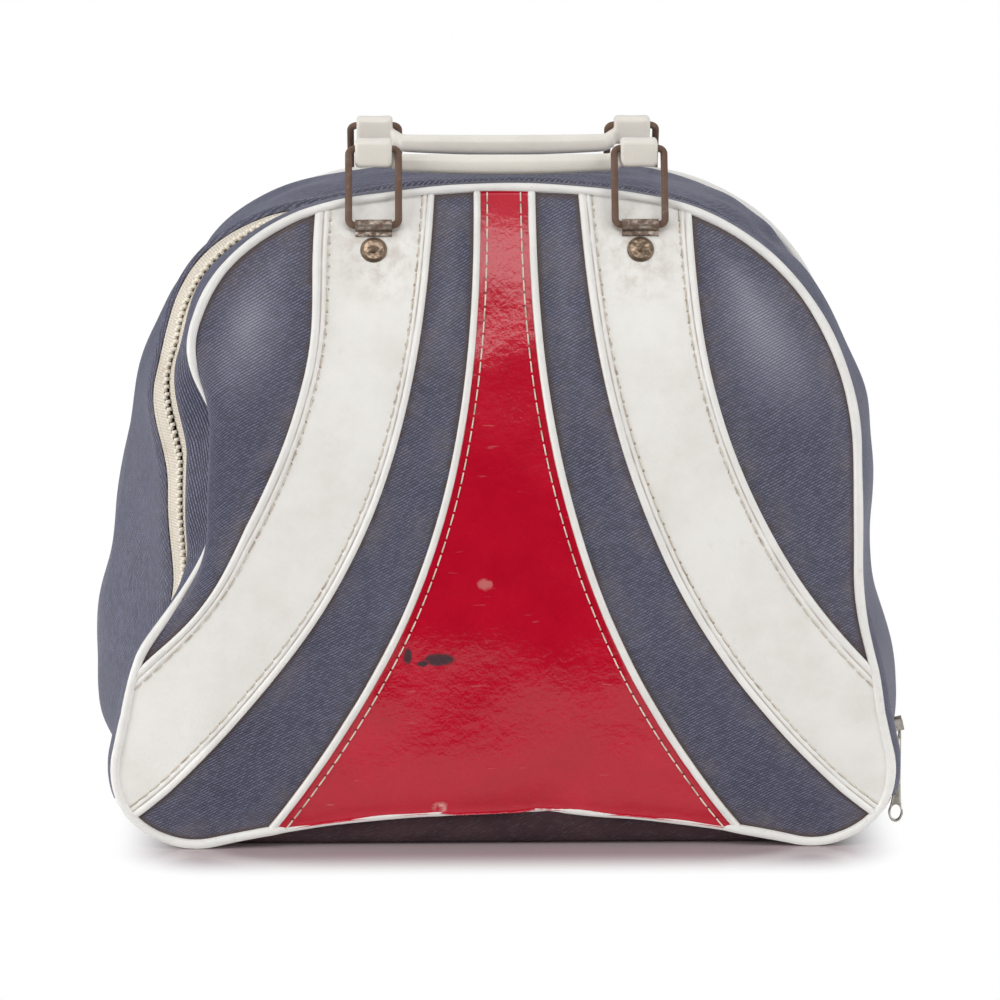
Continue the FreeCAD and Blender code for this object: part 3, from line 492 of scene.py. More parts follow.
def sheet(top, bottom, closed=False):
    """Vertices and faces of a sheet between two grids of points; closed joins the first and last column."""
    rows, columns = top.shape[:2]
    count = rows * columns
    faces = grid_faces(rows, columns, closed)
    edges = [np.arange(columns), count - columns + np.arange(columns)[::-1]]
    if not closed:
        edges += [np.arange(rows)[::-1] * columns, np.arange(rows) * columns + columns - 1]
    rims = []
    for edge in edges:
        loop = np.append(edge, edge[0]) if closed else edge
        rims.append(together(loop[1:], loop[:-1], loop[:-1] + count, loop[1:] + count))
    vertices = np.vstack([top.reshape(-1, 3), bottom.reshape(-1, 3)])
    return vertices, np.vstack([faces, faces[:, ::-1] + count] + rims)


def twice(pairs):
    """Surface coordinates for both sides of a sheet."""
    return np.vstack([pairs.reshape(-1, 2)] * 2)


def slab(name, top, bottom, layers, closed=False):
    """Object of a sheet between two grids, with the same coordinates on both its sides."""
    vertices, faces = sheet(top, bottom, closed)
    return new_object(name, vertices, faces, {layer: twice(pairs) for layer, pairs in layers.items()})


def normalised(vectors):
    return vectors / np.maximum(np.linalg.norm(vectors, axis=-1, keepdims=True), 1e-12)


def tube_mesh(path, radius, sides, closed=False, flat=(0.0, -1.0, 0.0)):
    """Vertices, faces and coordinates of a round tube; flat is the direction its section starts from."""
    count = len(path)
    ahead = np.roll(path, -1, 0) - np.roll(path, 1, 0)
    if not closed:
        ahead[0], ahead[-1] = path[1] - path[0], path[-1] - path[-2]
    ahead = normalised(ahead)
    across = normalised(np.cross(ahead, flat))
    up = np.cross(across, ahead)
    angle = np.linspace(0, FULL_TURN, sides, endpoint=False)
    radius = np.broadcast_to(radius, count)[:, None]
    cos, sin = np.cos(angle)[:, None], np.sin(angle)[:, None]
    ring = cos * up[:, None, :] + sin * across[:, None, :]
    vertices = (path[:, None, :] + radius[:, :, None] * ring).reshape(-1, 3)
    faces = grid_faces(count, sides, True, True) if closed else capped_faces(count, sides)
    return vertices, faces, together(angle * radius, walked(*path.T)[:, None]).reshape(-1, 2)


def join_meshes(name, parts):
    """One object out of several (vertices, faces, coordinates)."""
    joined, offset = [], 0
    for vertices, faces, _ in parts:
        joined += [tuple(i + offset for i in face) for face in faces]
        offset += len(vertices)
    vertices, pairs = (np.vstack([part[item] for part in parts]) for item in (0, 2))
    return new_object(name, vertices, joined, {"seam": pairs})


STITCH_PLACES = 0.86 * np.array([-0.5, -0.42, -0.25, 0, 0.25, 0.42, 0.5])
STITCH_RISE = np.array([-1.6, -0.1, 0.45, 0.6, 0.45, -0.1, -1.6])[:, None]


def stitches(path, outward):
    """Threads that dip into the sheet at both ends of each stitch along a path."""
    s = sizes()
    steps = walked(*path.T)
    count = int(steps[-1] / s.stitch_pitch)
    threads = []
    for index in range(count):
        place = (index + 0.5 + STITCH_PLACES) * steps[-1] / count
        middle, out = (together(*(np.interp(place, steps, axis) for axis in rows.T))
                       for rows in (path, outward))
        out = normalised(out)
        middle += out * STITCH_RISE * s.thread_radius
        threads.append(tube_mesh(middle, s.thread_radius, 6, flat=out))
    return threads


def face_normals(side, x, z):
    """Outward directions of a face at points of its outline plane."""
    step = 1.0 * MM
    here = on_face(side, x, z, 0)
    along_x, along_z = on_face(side, x + step, z, 0) - here, on_face(side, x, z + step, 0) - here
    return -SIDES[side] * normalised(np.cross(along_x, along_z))


def fitted(piece, slot, maker, *replaced):
    """Give a piece its finish and hide the frame's nodes that it stands for; slot is not used."""
    piece.data.materials.append(finish(maker))
    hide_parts(*replaced)


def carried(piece, side, slot, maker, *replaced):
    """Fit a soft piece; the front half's pieces have their placing baked into their meshes, and the rear
    half's are attached to the root.
    """
    fitted(piece, slot, maker, *replaced)
    if side == "front":
        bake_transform(piece)
    else:
        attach(piece, "root")


# ---------------------------------------------------------------- shader helpers

class Shade:
    """A shader output; arithmetic on it adds Math nodes to its material."""

    def __init__(self, finish, socket):
        self.finish, self.socket = finish, socket

    def calc(self, operation, *values):
        return self.finish.node("ShaderNodeMath", {"operation": operation}, dict(enumerate(values)))

    def __add__(self, other):
        return self.calc("ADD", self, other)

    def __sub__(self, other):
        return self.calc("SUBTRACT", self, other)

    def __rsub__(self, other):
        return self.calc("SUBTRACT", other, self)

    def __mul__(self, other):
        return self.calc("MULTIPLY", self, other)

    def __truediv__(self, other):
        return self.calc("DIVIDE", self, other)

    def __pow__(self, other):
        return self.calc("POWER", self, other)

    def __abs__(self):
        return self.calc("ABSOLUTE", self)

    __radd__ = __add__
    __rmul__ = __mul__

    def fraction(self):
        return self.calc("FRACT", self)

    def whole(self):
        return self.calc("FLOOR", self)

    def sine(self):
        return self.calc("SINE", self)

    def larger(self, other):
        return self.calc("MAXIMUM", self, other)

    def between(self, low, high):
        """0 at low, 1 at high and smooth between them; low may be above high."""
        turned = low > high
        inputs = {0: self, 1: min(low, high), 2: max(low, high), 3: float(turned), 4: 1.0 - turned}
        return self.finish.node("ShaderNodeMapRange", {"interpolation_type": "SMOOTHSTEP"}, inputs)


class Finish:
    """The nodes of a material, or of the world, and the one shader that it shows."""

    def __init__(self, name, kind="materials"):
        self.owner = getattr(bpy.data, kind).new(name)
        self.owner.use_nodes = True
        self.tree = self.owner.node_tree
        self.tree.nodes.clear()

    def node(self, kind, settings=None, inputs=None, output=0):
        """Add a node: its settings first, then the values or links of its sockets."""
        made = self.tree.nodes.new(kind)
        for key, value in (settings or {}).items():
            setattr(made, key, value)
        for key, value in (inputs or {}).items():
            socket = made.inputs[key]
            if isinstance(value, Shade):
                self.tree.links.new(value.socket, socket)
            elif socket.type == "RGBA":
                socket.default_value = (*value, 1.0)
            else:
                socket.default_value = value
        return Shade(self, made.outputs[output]) if made.outputs else None

    def layer(self, name):
        """Surface coordinates stored with a mesh."""
        return self.node("ShaderNodeUVMap", {"uv_map": name})

    def solid_place(self):
        return self.node("ShaderNodeTexCoord", output="Object")

    def ray(self, kind):
        """1 for rays of one kind, such as those that come from the camera."""
        return self.node("ShaderNodeLightPath", output=f"Is {kind} Ray")

    def parts(self, vector):
        node = self.node("ShaderNodeSeparateXYZ", inputs={0: vector}).socket.node
        return [Shade(self, output) for output in node.outputs]

    def joined(self, x, y):
        return self.node("ShaderNodeCombineXYZ", inputs={0: x, 1: y})

    def noise(self, place, scale, detail, roughness=0.5):
        return self.node("ShaderNodeTexNoise", inputs={
            "Vector": place, "Scale": scale, "Detail": detail, "Roughness": roughness})

    def mix(self, share, first, second):
        settings = {"data_type": "RGBA", "clamp_factor": True}
        return self.node("ShaderNodeMix", settings, {0: share, 6: first, 7: second}, 2)

    def layered(self, share, below, above):
        """One shader over another."""
        return self.node("ShaderNodeMixShader", inputs={0: share, 1: below, 2: above})

    def bump(self, height, distance, below=None):
        inputs = {"Height": height, "Distance": distance, "Strength": 1.0}
        if below:
            inputs["Normal"] = below
        return self.node("ShaderNodeBump", inputs=inputs)

    def principled(self, **sockets):
        """Principled shader; underscores in names stand for spaces."""
        return self.node("ShaderNodeBsdfPrincipled",
                         inputs={key.replace("_", " "): value for key, value in sockets.items()})

    def shown(self, shader, kind="Material"):
        """Show a shader, and give back the material or world."""
        self.node("ShaderNodeOutput" + kind, inputs={"Surface": shader})
        return self.owner

    def surface(self, **sockets):
        return self.shown(self.principled(**sockets))


# ---------------------------------------------------------------- finishes

RIB_PITCH = 1.08 * MM
FLOAT_LENGTH = 2.3 * MM
RIB_SLANT = math.radians(27)


def scaled(tone, share):
    return [channel * share for channel in tone]


def clouded(f, place, tone):
    """A pale tone that is darker in soft clouds, and the clouds."""
    cloud = f.noise(place, 55.0, 4.0, 0.6)
    return f.mix(cloud.between(0.30, 0.80), tone, scaled(tone, 0.90)), cloud


def twill(f, place):
    """Slanting ribs of short raised threads: height, and a chance value for each thread."""
    u, v, _ = f.parts(place)
    waver = (f.noise(place, 60.0, 2.0) - 0.5) * 1.6
    across = (v * math.cos(RIB_SLANT) - u * math.sin(RIB_SLANT)) / RIB_PITCH + waver
    along = (u * math.cos(RIB_SLANT) + v * math.sin(RIB_SLANT)) / FLOAT_LENGTH + across.whole() * 0.37
    rib = 1.0 - abs(across.fraction() * 2.0 - 1.0) ** 1.6
    bead = 1.0 - abs(along.fraction() * 2.0 - 1.0) ** 3.0
    chance = f.node("ShaderNodeTexWhiteNoise", {"noise_dimensions": "2D"}, {
        "Vector": f.joined(across.whole(), along.whole())})
    return rib * (bead * 0.42 + 0.58), chance


def navy_cloth():
    """Cloth embossed like twill: slanting ribs of short raised threads, worn brown at its edges, with a thin
    darker line right at its seams and a painted sheen, paler patches high on the faces.
    """
    f, tone = Finish("navy_cloth"), colours()
    place = f.layer("cloth")
    _, height, _ = f.parts(place)
    edge, _, _ = f.parts(f.layer("seam"))
    weave, chance = twill(f, place)
    patches = f.noise(place, 22.0, 3.0, 0.6)
    # Painted sheen: paler patches high on the faces, away from the seams, standing in for the highlight of
    # the lamps above.
    painted_sheen = height.between(0.180, 0.245) * edge.between(0.002, 0.024) * patches.between(0.15, 0.60)
    # Colours of the painted sheen's hollows and raised threads, and of the thin dark line at the seams.
    sheen_hollow_tone, sheen_thread_tone, seam_line_tone = (0.160, 0.158, 0.195), (0.470, 0.470, 0.540), (0.070, 0.040, 0.028)
    base = f.mix(patches.between(0.30, 0.72), tone.navy, scaled(tone.navy, 1.45))
    raised = f.mix((weave * (chance * 0.34 + 0.66)).between(0.30, 0.92), base, tone.navy_light)
    grime = f.noise(place, 45.0, 4.0, 0.7)
    wear = edge.between(0.014, 0.0) * grime.between(0.35, 0.85) * 0.50
    worn_spots = f.noise(place, 9.0, 4.0, 0.65).between(0.60, 0.85) * 0.10
    # Colour of the painted sheen, paler on the raised threads.
    pale = f.mix(weave.between(0.1, 0.9), sheen_hollow_tone, sheen_thread_tone)
    # Lays the painted sheen and the brown dust spots over the cloth.
    aged = f.mix(worn_spots, f.mix(painted_sheen * 0.70, raised, pale), tone.dust)
    aged = f.mix(wear, aged, tone.dust)
    # A thin darker brown line right at the seams, beside the welts and piping.
    aged = f.mix(edge.between(0.0024, 0.0005) * 0.70, aged, seam_line_tone)
    relief = weave * (chance * 0.3 + 0.7) + f.noise(place, 1600.0, 2.0) * 0.35
    return f.surface(Base_Color=aged, Roughness=0.56 - weave * 0.14, Specular_IOR_Level=0.60,
                     Sheen_Weight=0.16, Sheen_Roughness=0.40, Sheen_Tint=(0.80, 0.82, 1.0),
                     Normal=f.bump(relief, 0.30 * MM))


def shaded_base_cloth():
    """The same cloth under the bag, rubbed smooth, in painted shade: near black, with a painted reddish
    reflection of the red panel.
    """
    f = Finish("shaded_base_cloth")
    place = f.layer("cloth")
    weave, chance = twill(f, place)
    grime = f.noise(place, 45.0, 4.0, 0.7)
    # Painted shade and a painted reflection: near-black colours with a red tint.
    base = f.mix(grime.between(0.3, 0.8), (0.036, 0.017, 0.022), (0.060, 0.028, 0.034))
    base = f.mix((weave * chance).between(0.3, 1.2), base, (0.075, 0.062, 0.075))
    return f.surface(Base_Color=base, Roughness=0.80, Specular_IOR_Level=0.25, Normal=f.bump(weave, 0.2 * MM))


def vinyl_grain(f, place):
    """Fine leather grain: rounded cells with creases between them."""
    cells = f.node("ShaderNodeTexVoronoi", {"feature": "SMOOTH_F1"}, {
        "Vector": place, "Scale": 900.0, "Smoothness": 0.6})
    return cells * 0.55 + f.noise(place, 330.0, 4.0, 0.6) * 0.9


def stitch_marks(edge, count, line):
    """Dark dots where the thread enters the vinyl, in a row at a distance from the edge."""
    hole = abs(count.fraction() - 0.5).between(0.33, 0.47)
    row = abs(edge - line).between(1.1 * MM, 0.3 * MM)
    return hole * row


def white_vinyl():
    """Off-white grained vinyl, soiled round its stitches and edges."""
    f, tone = Finish("white_vinyl"), colours()
    place = f.layer("cloth")
    edge, count, _ = f.parts(f.layer("seam"))
    cloud = f.noise(place, 26.0, 5.0, 0.62)
    base = f.mix(cloud.between(0.35, 0.75), tone.white, (0.730, 0.700, 0.650))
    smear = f.noise(place, 70.0, 5.0, 0.7).between(0.60, 0.84)
    rim = edge.between(7.5 * MM, 3.6 * MM) * f.noise(place, 120.0, 3.0).between(0.42, 0.75)
    dirt = stitch_marks(edge, count, sizes().band_stitch) * 0.9
    u, v, _ = f.parts(place)
    from_rivet = ((abs(u) - RIVET_MIDDLE[0]) ** 2.0 + (v - RIVET_MIDDLE[1]) ** 2.0) ** 0.5
    handled = from_rivet.between(0.030, 0.007) * f.noise(place, 160.0, 4.0, 0.65).between(0.38, 0.72)
    base = f.mix(handled * 0.34, base, tone.soil)
    base = f.mix(smear * 0.20 + rim * 0.28, base, tone.soil)
    base = f.mix(dirt, base, tone.soil)
    return f.surface(Base_Color=base, Roughness=0.40 + cloud * 0.16, Specular_IOR_Level=0.45,
                     Normal=f.bump(vinyl_grain(f, place), 0.16 * MM))


def mark(u, v, ragged, x, z, wide, tall):
    """A ragged oval mark centred on one place of a face."""
    reach = ((u - x) / wide) ** 2.0 + ((v - z) / tall) ** 2.0
    return (reach + ragged).between(1.7, 0.5)


# Each mark's place across and up the face, and half its width and height.
DARK_SCUFFS = [(-0.0300, 0.0870, 0.0066, 0.0026), (-0.0440, 0.0885, 0.0018, 0.0034),
               (-0.0375, 0.0850, 0.0022, 0.0012)]
WORN_THROUGH = (-0.029, 0.019, 0.0034, 0.0026)
RUBBED_PALE = (-0.0095, 0.120, 0.0030, 0.0024)


def red_vinyl():
    """Glossy red vinyl with fine creases, scratches, dark scuffs and two pale rubbed places."""
    f, tone = Finish("red_vinyl"), colours()
    place = f.layer("cloth")
    u, v, _ = f.parts(place)
    edge, count, _ = f.parts(f.layer("seam"))
    cloud = f.noise(place, 34.0, 5.0, 0.6)
    base = f.mix(cloud.between(0.30, 0.75), tone.red, (0.50, 0.004, 0.022))
    ragged = (f.noise(place, 420.0, 3.0) - 0.5) * 1.6
    scuffs = sum(mark(u, v, ragged, *place) for place in DARK_SCUFFS)
    streak = f.noise(f.joined(u * 55.0, v * 420.0), 1.0, 3.0)
    scratches = streak.between(0.68, 0.76) * 0.10
    worn = mark(u, v, ragged * 1.4, *WORN_THROUGH) * ragged.between(-0.2, 0.5) * 0.75
    rubbed = mark(u, v, ragged * 1.4, *RUBBED_PALE) * 0.22
    crease = f.noise(place, 150.0, 4.0, 0.65)
    base = f.mix(scratches + worn + rubbed, base, (0.86, 0.62, 0.56))
    rim = edge.between(8.0 * MM, 2.8 * MM) * cloud.between(0.4, 0.7)
    base = f.mix(rim * 0.35, base, (0.20, 0.004, 0.008))
    base = f.mix(stitch_marks(edge, count, sizes().red_stitch) * 0.8, base, (0.08, 0.01, 0.01))
    base = f.mix(scuffs * 0.92, base, (0.016, 0.016, 0.022))
    grain = f.bump(vinyl_grain(f, place), 0.05 * MM)
    hollow = f.bump(crease, 0.5 * MM, grain)
    return f.surface(Base_Color=base, Roughness=cloud * 0.14 + 0.07 + scuffs * 0.3, Specular_IOR_Level=0.5,
                     Normal=hollow)


def soiled_cord(name, tone, soil, dirt, rough, scale=240.0):
    """Smooth moulded or extruded vinyl with dirt in patches."""
    f = Finish(name)
    place = f.solid_place()
    base, cloud = clouded(f, place, tone)
    grime = f.noise(place, scale, 4.0, 0.7).between(0.56, 0.80)
    base = f.mix(grime * dirt, base, soil)
    height = f.noise(place, 620.0, 3.0)
    return f.surface(Base_Color=base, Roughness=cloud * 0.2 + rough, Specular_IOR_Level=0.5,
                     Normal=f.bump(height, 0.10 * MM))


def white_piping():
    return soiled_cord("white_piping", colours().piping, colours().soil, 0.22, 0.28)


WELT_GROOVE = 3.45 * MM


def white_welt():
    """Folded white vinyl, darker brown in a thin line along the groove between its two ridges and along its
    outer edge.
    """
    f, tone = Finish("white_welt"), colours()
    place = f.solid_place()
    near, _, _ = f.parts(f.layer("seam"))
    base, cloud = clouded(f, place, tone.piping)
    # A thin darker brown line along the groove, and another at the welt's outer edge.
    groove = abs(near - WELT_GROOVE).between(0.55 * MM, 0.15 * MM)
    soiled = groove * f.noise(place, 90.0, 3.0).between(0.25, 0.60)
    outer = near.between(0.35 * MM, 0.05 * MM)
    base = f.mix(soiled * 0.50 + outer * 0.5, base, tone.soil)
    base = f.mix(f.noise(place, 300.0, 4.0, 0.7).between(0.60, 0.82) * 0.18, base, tone.soil)
    return f.surface(Base_Color=base, Roughness=cloud * 0.2 + 0.30, Specular_IOR_Level=0.5,
                     Normal=f.bump(f.noise(place, 620.0, 3.0), 0.10 * MM))


def white_moulding():
    """Cream moulded plastic with fine dark specks and a dull, handled surface."""
    f, tone = Finish("white_moulding"), colours()
    place = f.solid_place()
    specks = f.noise(place, 900.0, 2.0).between(0.70, 0.78) * 0.35
    cloud = f.noise(place, 40.0, 4.0, 0.6)
    base = f.mix(cloud.between(0.35, 0.80), tone.moulding, scaled(tone.moulding, 0.93))
    base = f.mix(specks, base, tone.soil)
    return f.surface(Base_Color=base, Roughness=cloud * 0.15 + 0.26, Specular_IOR_Level=0.5,
                     Normal=f.bump(f.noise(place, 300.0, 3.0), 0.12 * MM))


def cream_tape():
    """Knitted zip tape: fine columns of loops across its width."""
    f, tone = Finish("cream_tape"), colours()
    across, along, _ = f.parts(f.layer("seam"))
    place = f.layer("cloth")
    loops = (across * (FULL_TURN / (0.9 * MM))).sine() * 0.5 + 0.5
    rows = (along * (FULL_TURN / (1.3 * MM)) + loops * 2.2).sine() * 0.5 + 0.5
    knit = loops * 0.6 + rows * 0.5
    cloud = f.noise(place, 50.0, 4.0, 0.6)
    base = f.mix(knit.between(0.2, 1.0), scaled(tone.cream, 0.62), tone.cream)
    base = f.mix(cloud.between(0.50, 0.82) * 0.45, base, tone.soil)
    return f.surface(Base_Color=base, Roughness=0.82, Specular_IOR_Level=0.3,
                     Normal=f.bump(knit, 0.22 * MM))


def cream_teeth():
    return soiled_cord("cream_teeth", (0.87, 0.80, 0.68), colours().soil, 0.25, 0.34, 700.0)


def brown_thread():
    return thread("brown_thread", (0.740, 0.670, 0.570), (0.380, 0.270, 0.180))


def cream_thread():
    return thread("cream_thread", colours().cream, (0.36, 0.25, 0.15))


def thread(name, tone, soiled):
    """Two-ply thread, twisted, browned in places."""
    f = Finish(name)
    round_it, along, _ = f.parts(f.layer("seam"))
    ply = (along * (FULL_TURN / (0.8 * MM)) + round_it * (FULL_TURN / (1.1 * MM))).sine() * 0.5 + 0.5
    worn = f.noise(f.solid_place(), 130.0, 3.0).between(0.45, 0.75)
    base = f.mix(worn * 0.75, tone, soiled)
    return f.surface(Base_Color=base, Roughness=0.7, Specular_IOR_Level=0.3, Normal=f.bump(ply, 0.12 * MM))


def metal(name, bright, dull, rust, rusted, rough, scale=260.0, pits=0.14):
    """Old metal: bare, tarnished and rusted in patches, with pits."""
    f = Finish(name)
    place = f.solid_place()
    tarnish = f.noise(place, scale * 0.5, 4.0, 0.62).between(0.36, 0.66)
    patches = f.noise(place, scale, 5.0, 0.72)
    eaten = patches.between(0.68 - 0.42 * rusted, 0.86 - 0.42 * rusted)
    base = f.mix(tarnish, bright, dull)
    base = f.mix(eaten, base, rust)
    return f.surface(Base_Color=base, Metallic=1.0 - eaten * 0.9,
                     Roughness=tarnish * 0.22 + rough + eaten * 0.3,
                     Normal=f.bump(patches + f.noise(place, scale * 6, 2.0) * 0.4, pits * MM))


def rusty_wire():
    return metal("rusty_wire", (0.24, 0.18, 0.15), (0.17, 0.12, 0.10), colours().rust, 0.92, 0.46)


def aged_steel_strip():
    return metal("aged_steel_strip", colours().steel, (0.25, 0.20, 0.165), (0.15, 0.09, 0.065), 0.62, 0.38)


def aged_brass_rivet():
    return metal("aged_brass_rivet", colours().brass, (0.13, 0.095, 0.068), (0.120, 0.080, 0.055), 0.40, 0.30,
                 900.0, 0.02)


def zip_metal():
    return metal("zip_metal", (0.60, 0.57, 0.52), (0.34, 0.31, 0.27), (0.20, 0.12, 0.07), 0.25, 0.30, 420.0)


def plated_wire():
    return metal("plated_wire", (0.62, 0.60, 0.56), (0.45, 0.43, 0.40), (0.22, 0.13, 0.08), 0.12, 0.24,
                 300.0, 0.05)


def grey_board():
    """Pressed fibre board with flecks."""
    f, tone = Finish("grey_board"), colours()
    place = f.solid_place()
    flecks = f.noise(place, 520.0, 3.0, 0.7)
    base = f.mix(flecks.between(0.40, 0.70), tone.board, scaled(tone.board, 1.7))
    return f.surface(Base_Color=base, Roughness=0.88, Specular_IOR_Level=0.2,
                     Normal=f.bump(flecks, 0.25 * MM))


FINISHES = {}


def finish(maker):
    if maker.__name__ not in FINISHES:
        FINISHES[maker.__name__] = maker()
    return FINISHES[maker.__name__]


def dress(maker, *nodes):
    """Give the frame's own nodes a finish."""
    for name in nodes:
        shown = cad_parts[name]
        if not shown.material_slots:
            shown.data.materials.append(None)
        for place in shown.material_slots:
            place.material = finish(maker)


# ---------------------------------------------------------------- soft pieces of a face

CLOTH_CENTRE = (0.0, 0.140)
# How finely the pieces of a face are divided.
RING_POINTS = 560
VINYL_ROWS = 170
WELT_ROWS = 200
STITCH_LINE_POINTS = 400
PIPING_POINTS = 900
PIPING_SIDES = 14

CLOTH_INSETS = np.array([3.2, 4.0, 5.0, 6.5, 8.5, 11.0, 14.0, 17.5, 21.0, 24.5, 28.0]) * MM
BOARD_INSETS = np.array([9, 12, 16, 20, 24, 28]) * MM
BOARD_GAP = 1 * MM
BOARD_THICKNESS = 1.4 * MM
VINYL_THICKNESS = 1.0 * MM
WELT_THICKNESS = 1.1 * MM
BAND_MARGIN = 4.4 * MM
RED_MARGIN = 3.3 * MM
EDGE_CROWDING = 0.35
EDGE_SLOPE = 0.8


def face_rings(insets, shares, low=-1.0):
    """Rings of x and z inside the outline, no lower than low, then shrinking to shares of the last one."""
    bell = outline()
    along = np.linspace(-bell.total, bell.total, RING_POINTS, endpoint=False)
    edge_x, edge_z, normal_x, normal_z = bell.at(along)
    inset = insets[:, None]
    x, z = edge_x - normal_x * inset, np.maximum(edge_z - normal_z * inset, low + 0.05 * inset)
    return (np.vstack([line, middle + (line[-1] - middle) * shares[:, None]])
            for line, middle in zip((x, z), CLOTH_CENTRE))


def face_slab(name, side, x, z, depth, thickness, seam, closed=False):
    """Sheet that follows a face, with its coordinates in the cloth and its distance from a seam."""
    layers = {"cloth": together(x, z), "seam": seam}
    return slab(name, on_face(side, x, z, depth), on_face(side, x, z, depth + thickness), layers, closed)


def edge_distance(x, z):
    """Distance from a point of the face's cloth to its nearest seam; stripes slope by about EDGE_SLOPE."""
    nearest = np.clip(outline().inset(x, z) - 2 * sizes().piping_radius, 0, None)
    for edge in (RED_EDGE, BAND_INNER_EDGE, BAND_OUTER_EDGE):
        nearest = np.minimum(nearest, np.abs(np.abs(x) - stripe(edge)(z)[0]) * EDGE_SLOPE)
    return nearest


def make_cloth(side):
    """Embossed cloth that covers a whole face, under its vinyl."""
    s = sizes()
    x, z = face_rings(CLOTH_INSETS, np.linspace(0.94, 0.04, 22))
    seam = together(edge_distance(x, z), 0.0)
    piece = face_slab(side + "_face_cloth", side, x, z, s.cloth_depth, s.cloth_thickness, seam, closed=True)
    carried(piece, side, "navy_cloth", navy_cloth, side + "_panel_cloth")


def make_board(side):
    """Stiffener behind the face's cloth."""
    x, z = face_rings(BOARD_INSETS, np.linspace(0.9, 0.004, 16), BOARD_FOOT)
    piece = face_slab(side + "_board", side, x, z, sizes().board_depth + BOARD_GAP, BOARD_THICKNESS,
                      together(0 * x, 0), closed=True)
    carried(piece, side, "grey_board", grey_board, side + "_stiffener")


def make_vinyl(side, name, first, second, columns, margin, maker, *replaced):
    """Vinyl laid between two edge rules on a face; each of its seams lies margin outside it."""
    s = sizes()
    even = np.linspace(0, 1, columns)
    share = (1 - np.cos(math.pi * even)) / 2 * EDGE_CROWDING + even * (1 - EDGE_CROWDING)
    x, z = strip(first, second, share, VINYL_ROWS)
    width = np.hypot(x[-1] - x[0], z[-1] - z[0])
    edge = np.minimum(share, 1 - share)[:, None] * width + margin
    along = walked(x, z)
    stitch_count = round(along[0, -1] / s.stitch_pitch)
    layers = together(edge, along / along[:, -1:] * stitch_count)
    piece = face_slab(name, side, x, z, s.skin_depth, VINYL_THICKNESS, layers)
    carried(piece, side, maker.__name__, maker, *replaced)


def make_bands(side):
    """Two white bands and the red panel between them."""
    for hand, sign in HANDS.items():
        band = f"{side}_{hand}_band"
        make_vinyl(side, band + "_vinyl", stripe(BAND_INNER_EDGE, BAND_MARGIN, sign),
                   stripe(BAND_OUTER_EDGE, -BAND_MARGIN, sign), 26, BAND_MARGIN, white_vinyl,
                   band, band + "_welts")
    left, right = (stripe(RED_EDGE, -RED_MARGIN, sign) for sign in HANDS.values())
    make_vinyl(side, side + "_red_vinyl", left, right, 60, RED_MARGIN, red_vinyl,
               side + "_red_panel", side + "_red_welts")


# Distance from the seam in millimetres, and height as a share of the welt's rise.
WELT_PROFILE = [(0.0, -0.75), (0.10, 0.15), (0.5, 0.62), (1.2, 0.98), (1.9, 1.0), (2.6, 0.72), (3.1, 0.25),
                (3.4, 0.05), (3.7, 0.28), (4.2, 0.52), (4.8, 0.42), (5.3, 0.12), (5.8, -0.25)]
WELT_RIDGE = WELT_PROFILE[:8]


def make_welts(side, name, profile, *seams):
    """Folded welts, a rounded ridge and a turned edge: a seam is an edge, the way to the vinyl and a hand."""
    s = sizes()
    near, rise = np.array(profile).T * [[MM], [s.welt_rise]]
    parts = []
    for edge, way, hand in seams:
        x, z = strip(stripe(edge, 0.0, hand), stripe(edge, way * near[-1], hand), near / near[-1], WELT_ROWS)
        top = on_face(side, x, z, s.skin_depth) + face_normals(side, x, z) * rise[:, None, None]
        bottom = on_face(side, x, z, s.skin_depth + WELT_THICKNESS)
        parts.append((*sheet(top, bottom), twice(together(near[:, None], z))))
    carried(join_meshes(name, parts), side, "white_piping", white_welt)


def make_stitches(side, name, maker, *rows):
    """Threads along rows on both hands, each an edge and the row's distance outwards from it."""
    threads = []
    for sign in HANDS.values():
        for edge, line in rows:
            rule = stripe(edge, line, sign)
            x, z = strip(rule, rule, np.zeros(1), STITCH_LINE_POINTS)[:, 0]
            threads += stitches(on_face(side, x, z, sizes().skin_depth), face_normals(side, x, z))
    carried(join_meshes(name, threads), side, "cream_tape", maker)


def make_trim(side):
    """Welts and stitches of one face."""
    s = sizes()
    for hand, sign in HANDS.items():
        make_welts(side, f"{side}_{hand}_welts", WELT_PROFILE,
                   (BAND_INNER_EDGE, 1, sign), (BAND_OUTER_EDGE, -1, sign))
    make_welts(side, side + "_middle_welts", WELT_RIDGE, *((RED_EDGE, -1, sign) for sign in HANDS.values()))
    make_stitches(side, side + "_band_stitches", brown_thread,
                  (BAND_INNER_EDGE, s.band_stitch), (BAND_OUTER_EDGE, -s.band_stitch))
    make_stitches(side, side + "_middle_stitches", cream_thread, (RED_EDGE, -s.red_stitch))


PIPING_DEPTH = 2 * MM


def make_piping(side):
    """Cord in the seam all round a face, a little uneven, and deeper where the red panel covers it."""
    radius, bell = sizes().piping_radius, outline()
    along = np.linspace(-bell.total, bell.total, PIPING_POINTS, endpoint=False)
    x, z, normal_x, normal_z = bell.at(along)
    x, z = x - normal_x * radius, z - normal_z * radius
    path = on_face(side, x, z, PIPING_DEPTH * (1 + hem_cover(x, z)))
    lumps = 1 + 0.035 * np.sin(along * 160) + 0.03 * np.sin(along * 71 + 1.0)
    piece = join_meshes(side + "_piping", [tube_mesh(path, radius * lumps, PIPING_SIDES, closed=True)])
    carried(piece, side, "white_piping", white_piping, side + "_edge_piping")


# ---------------------------------------------------------------- gussets, zip and base

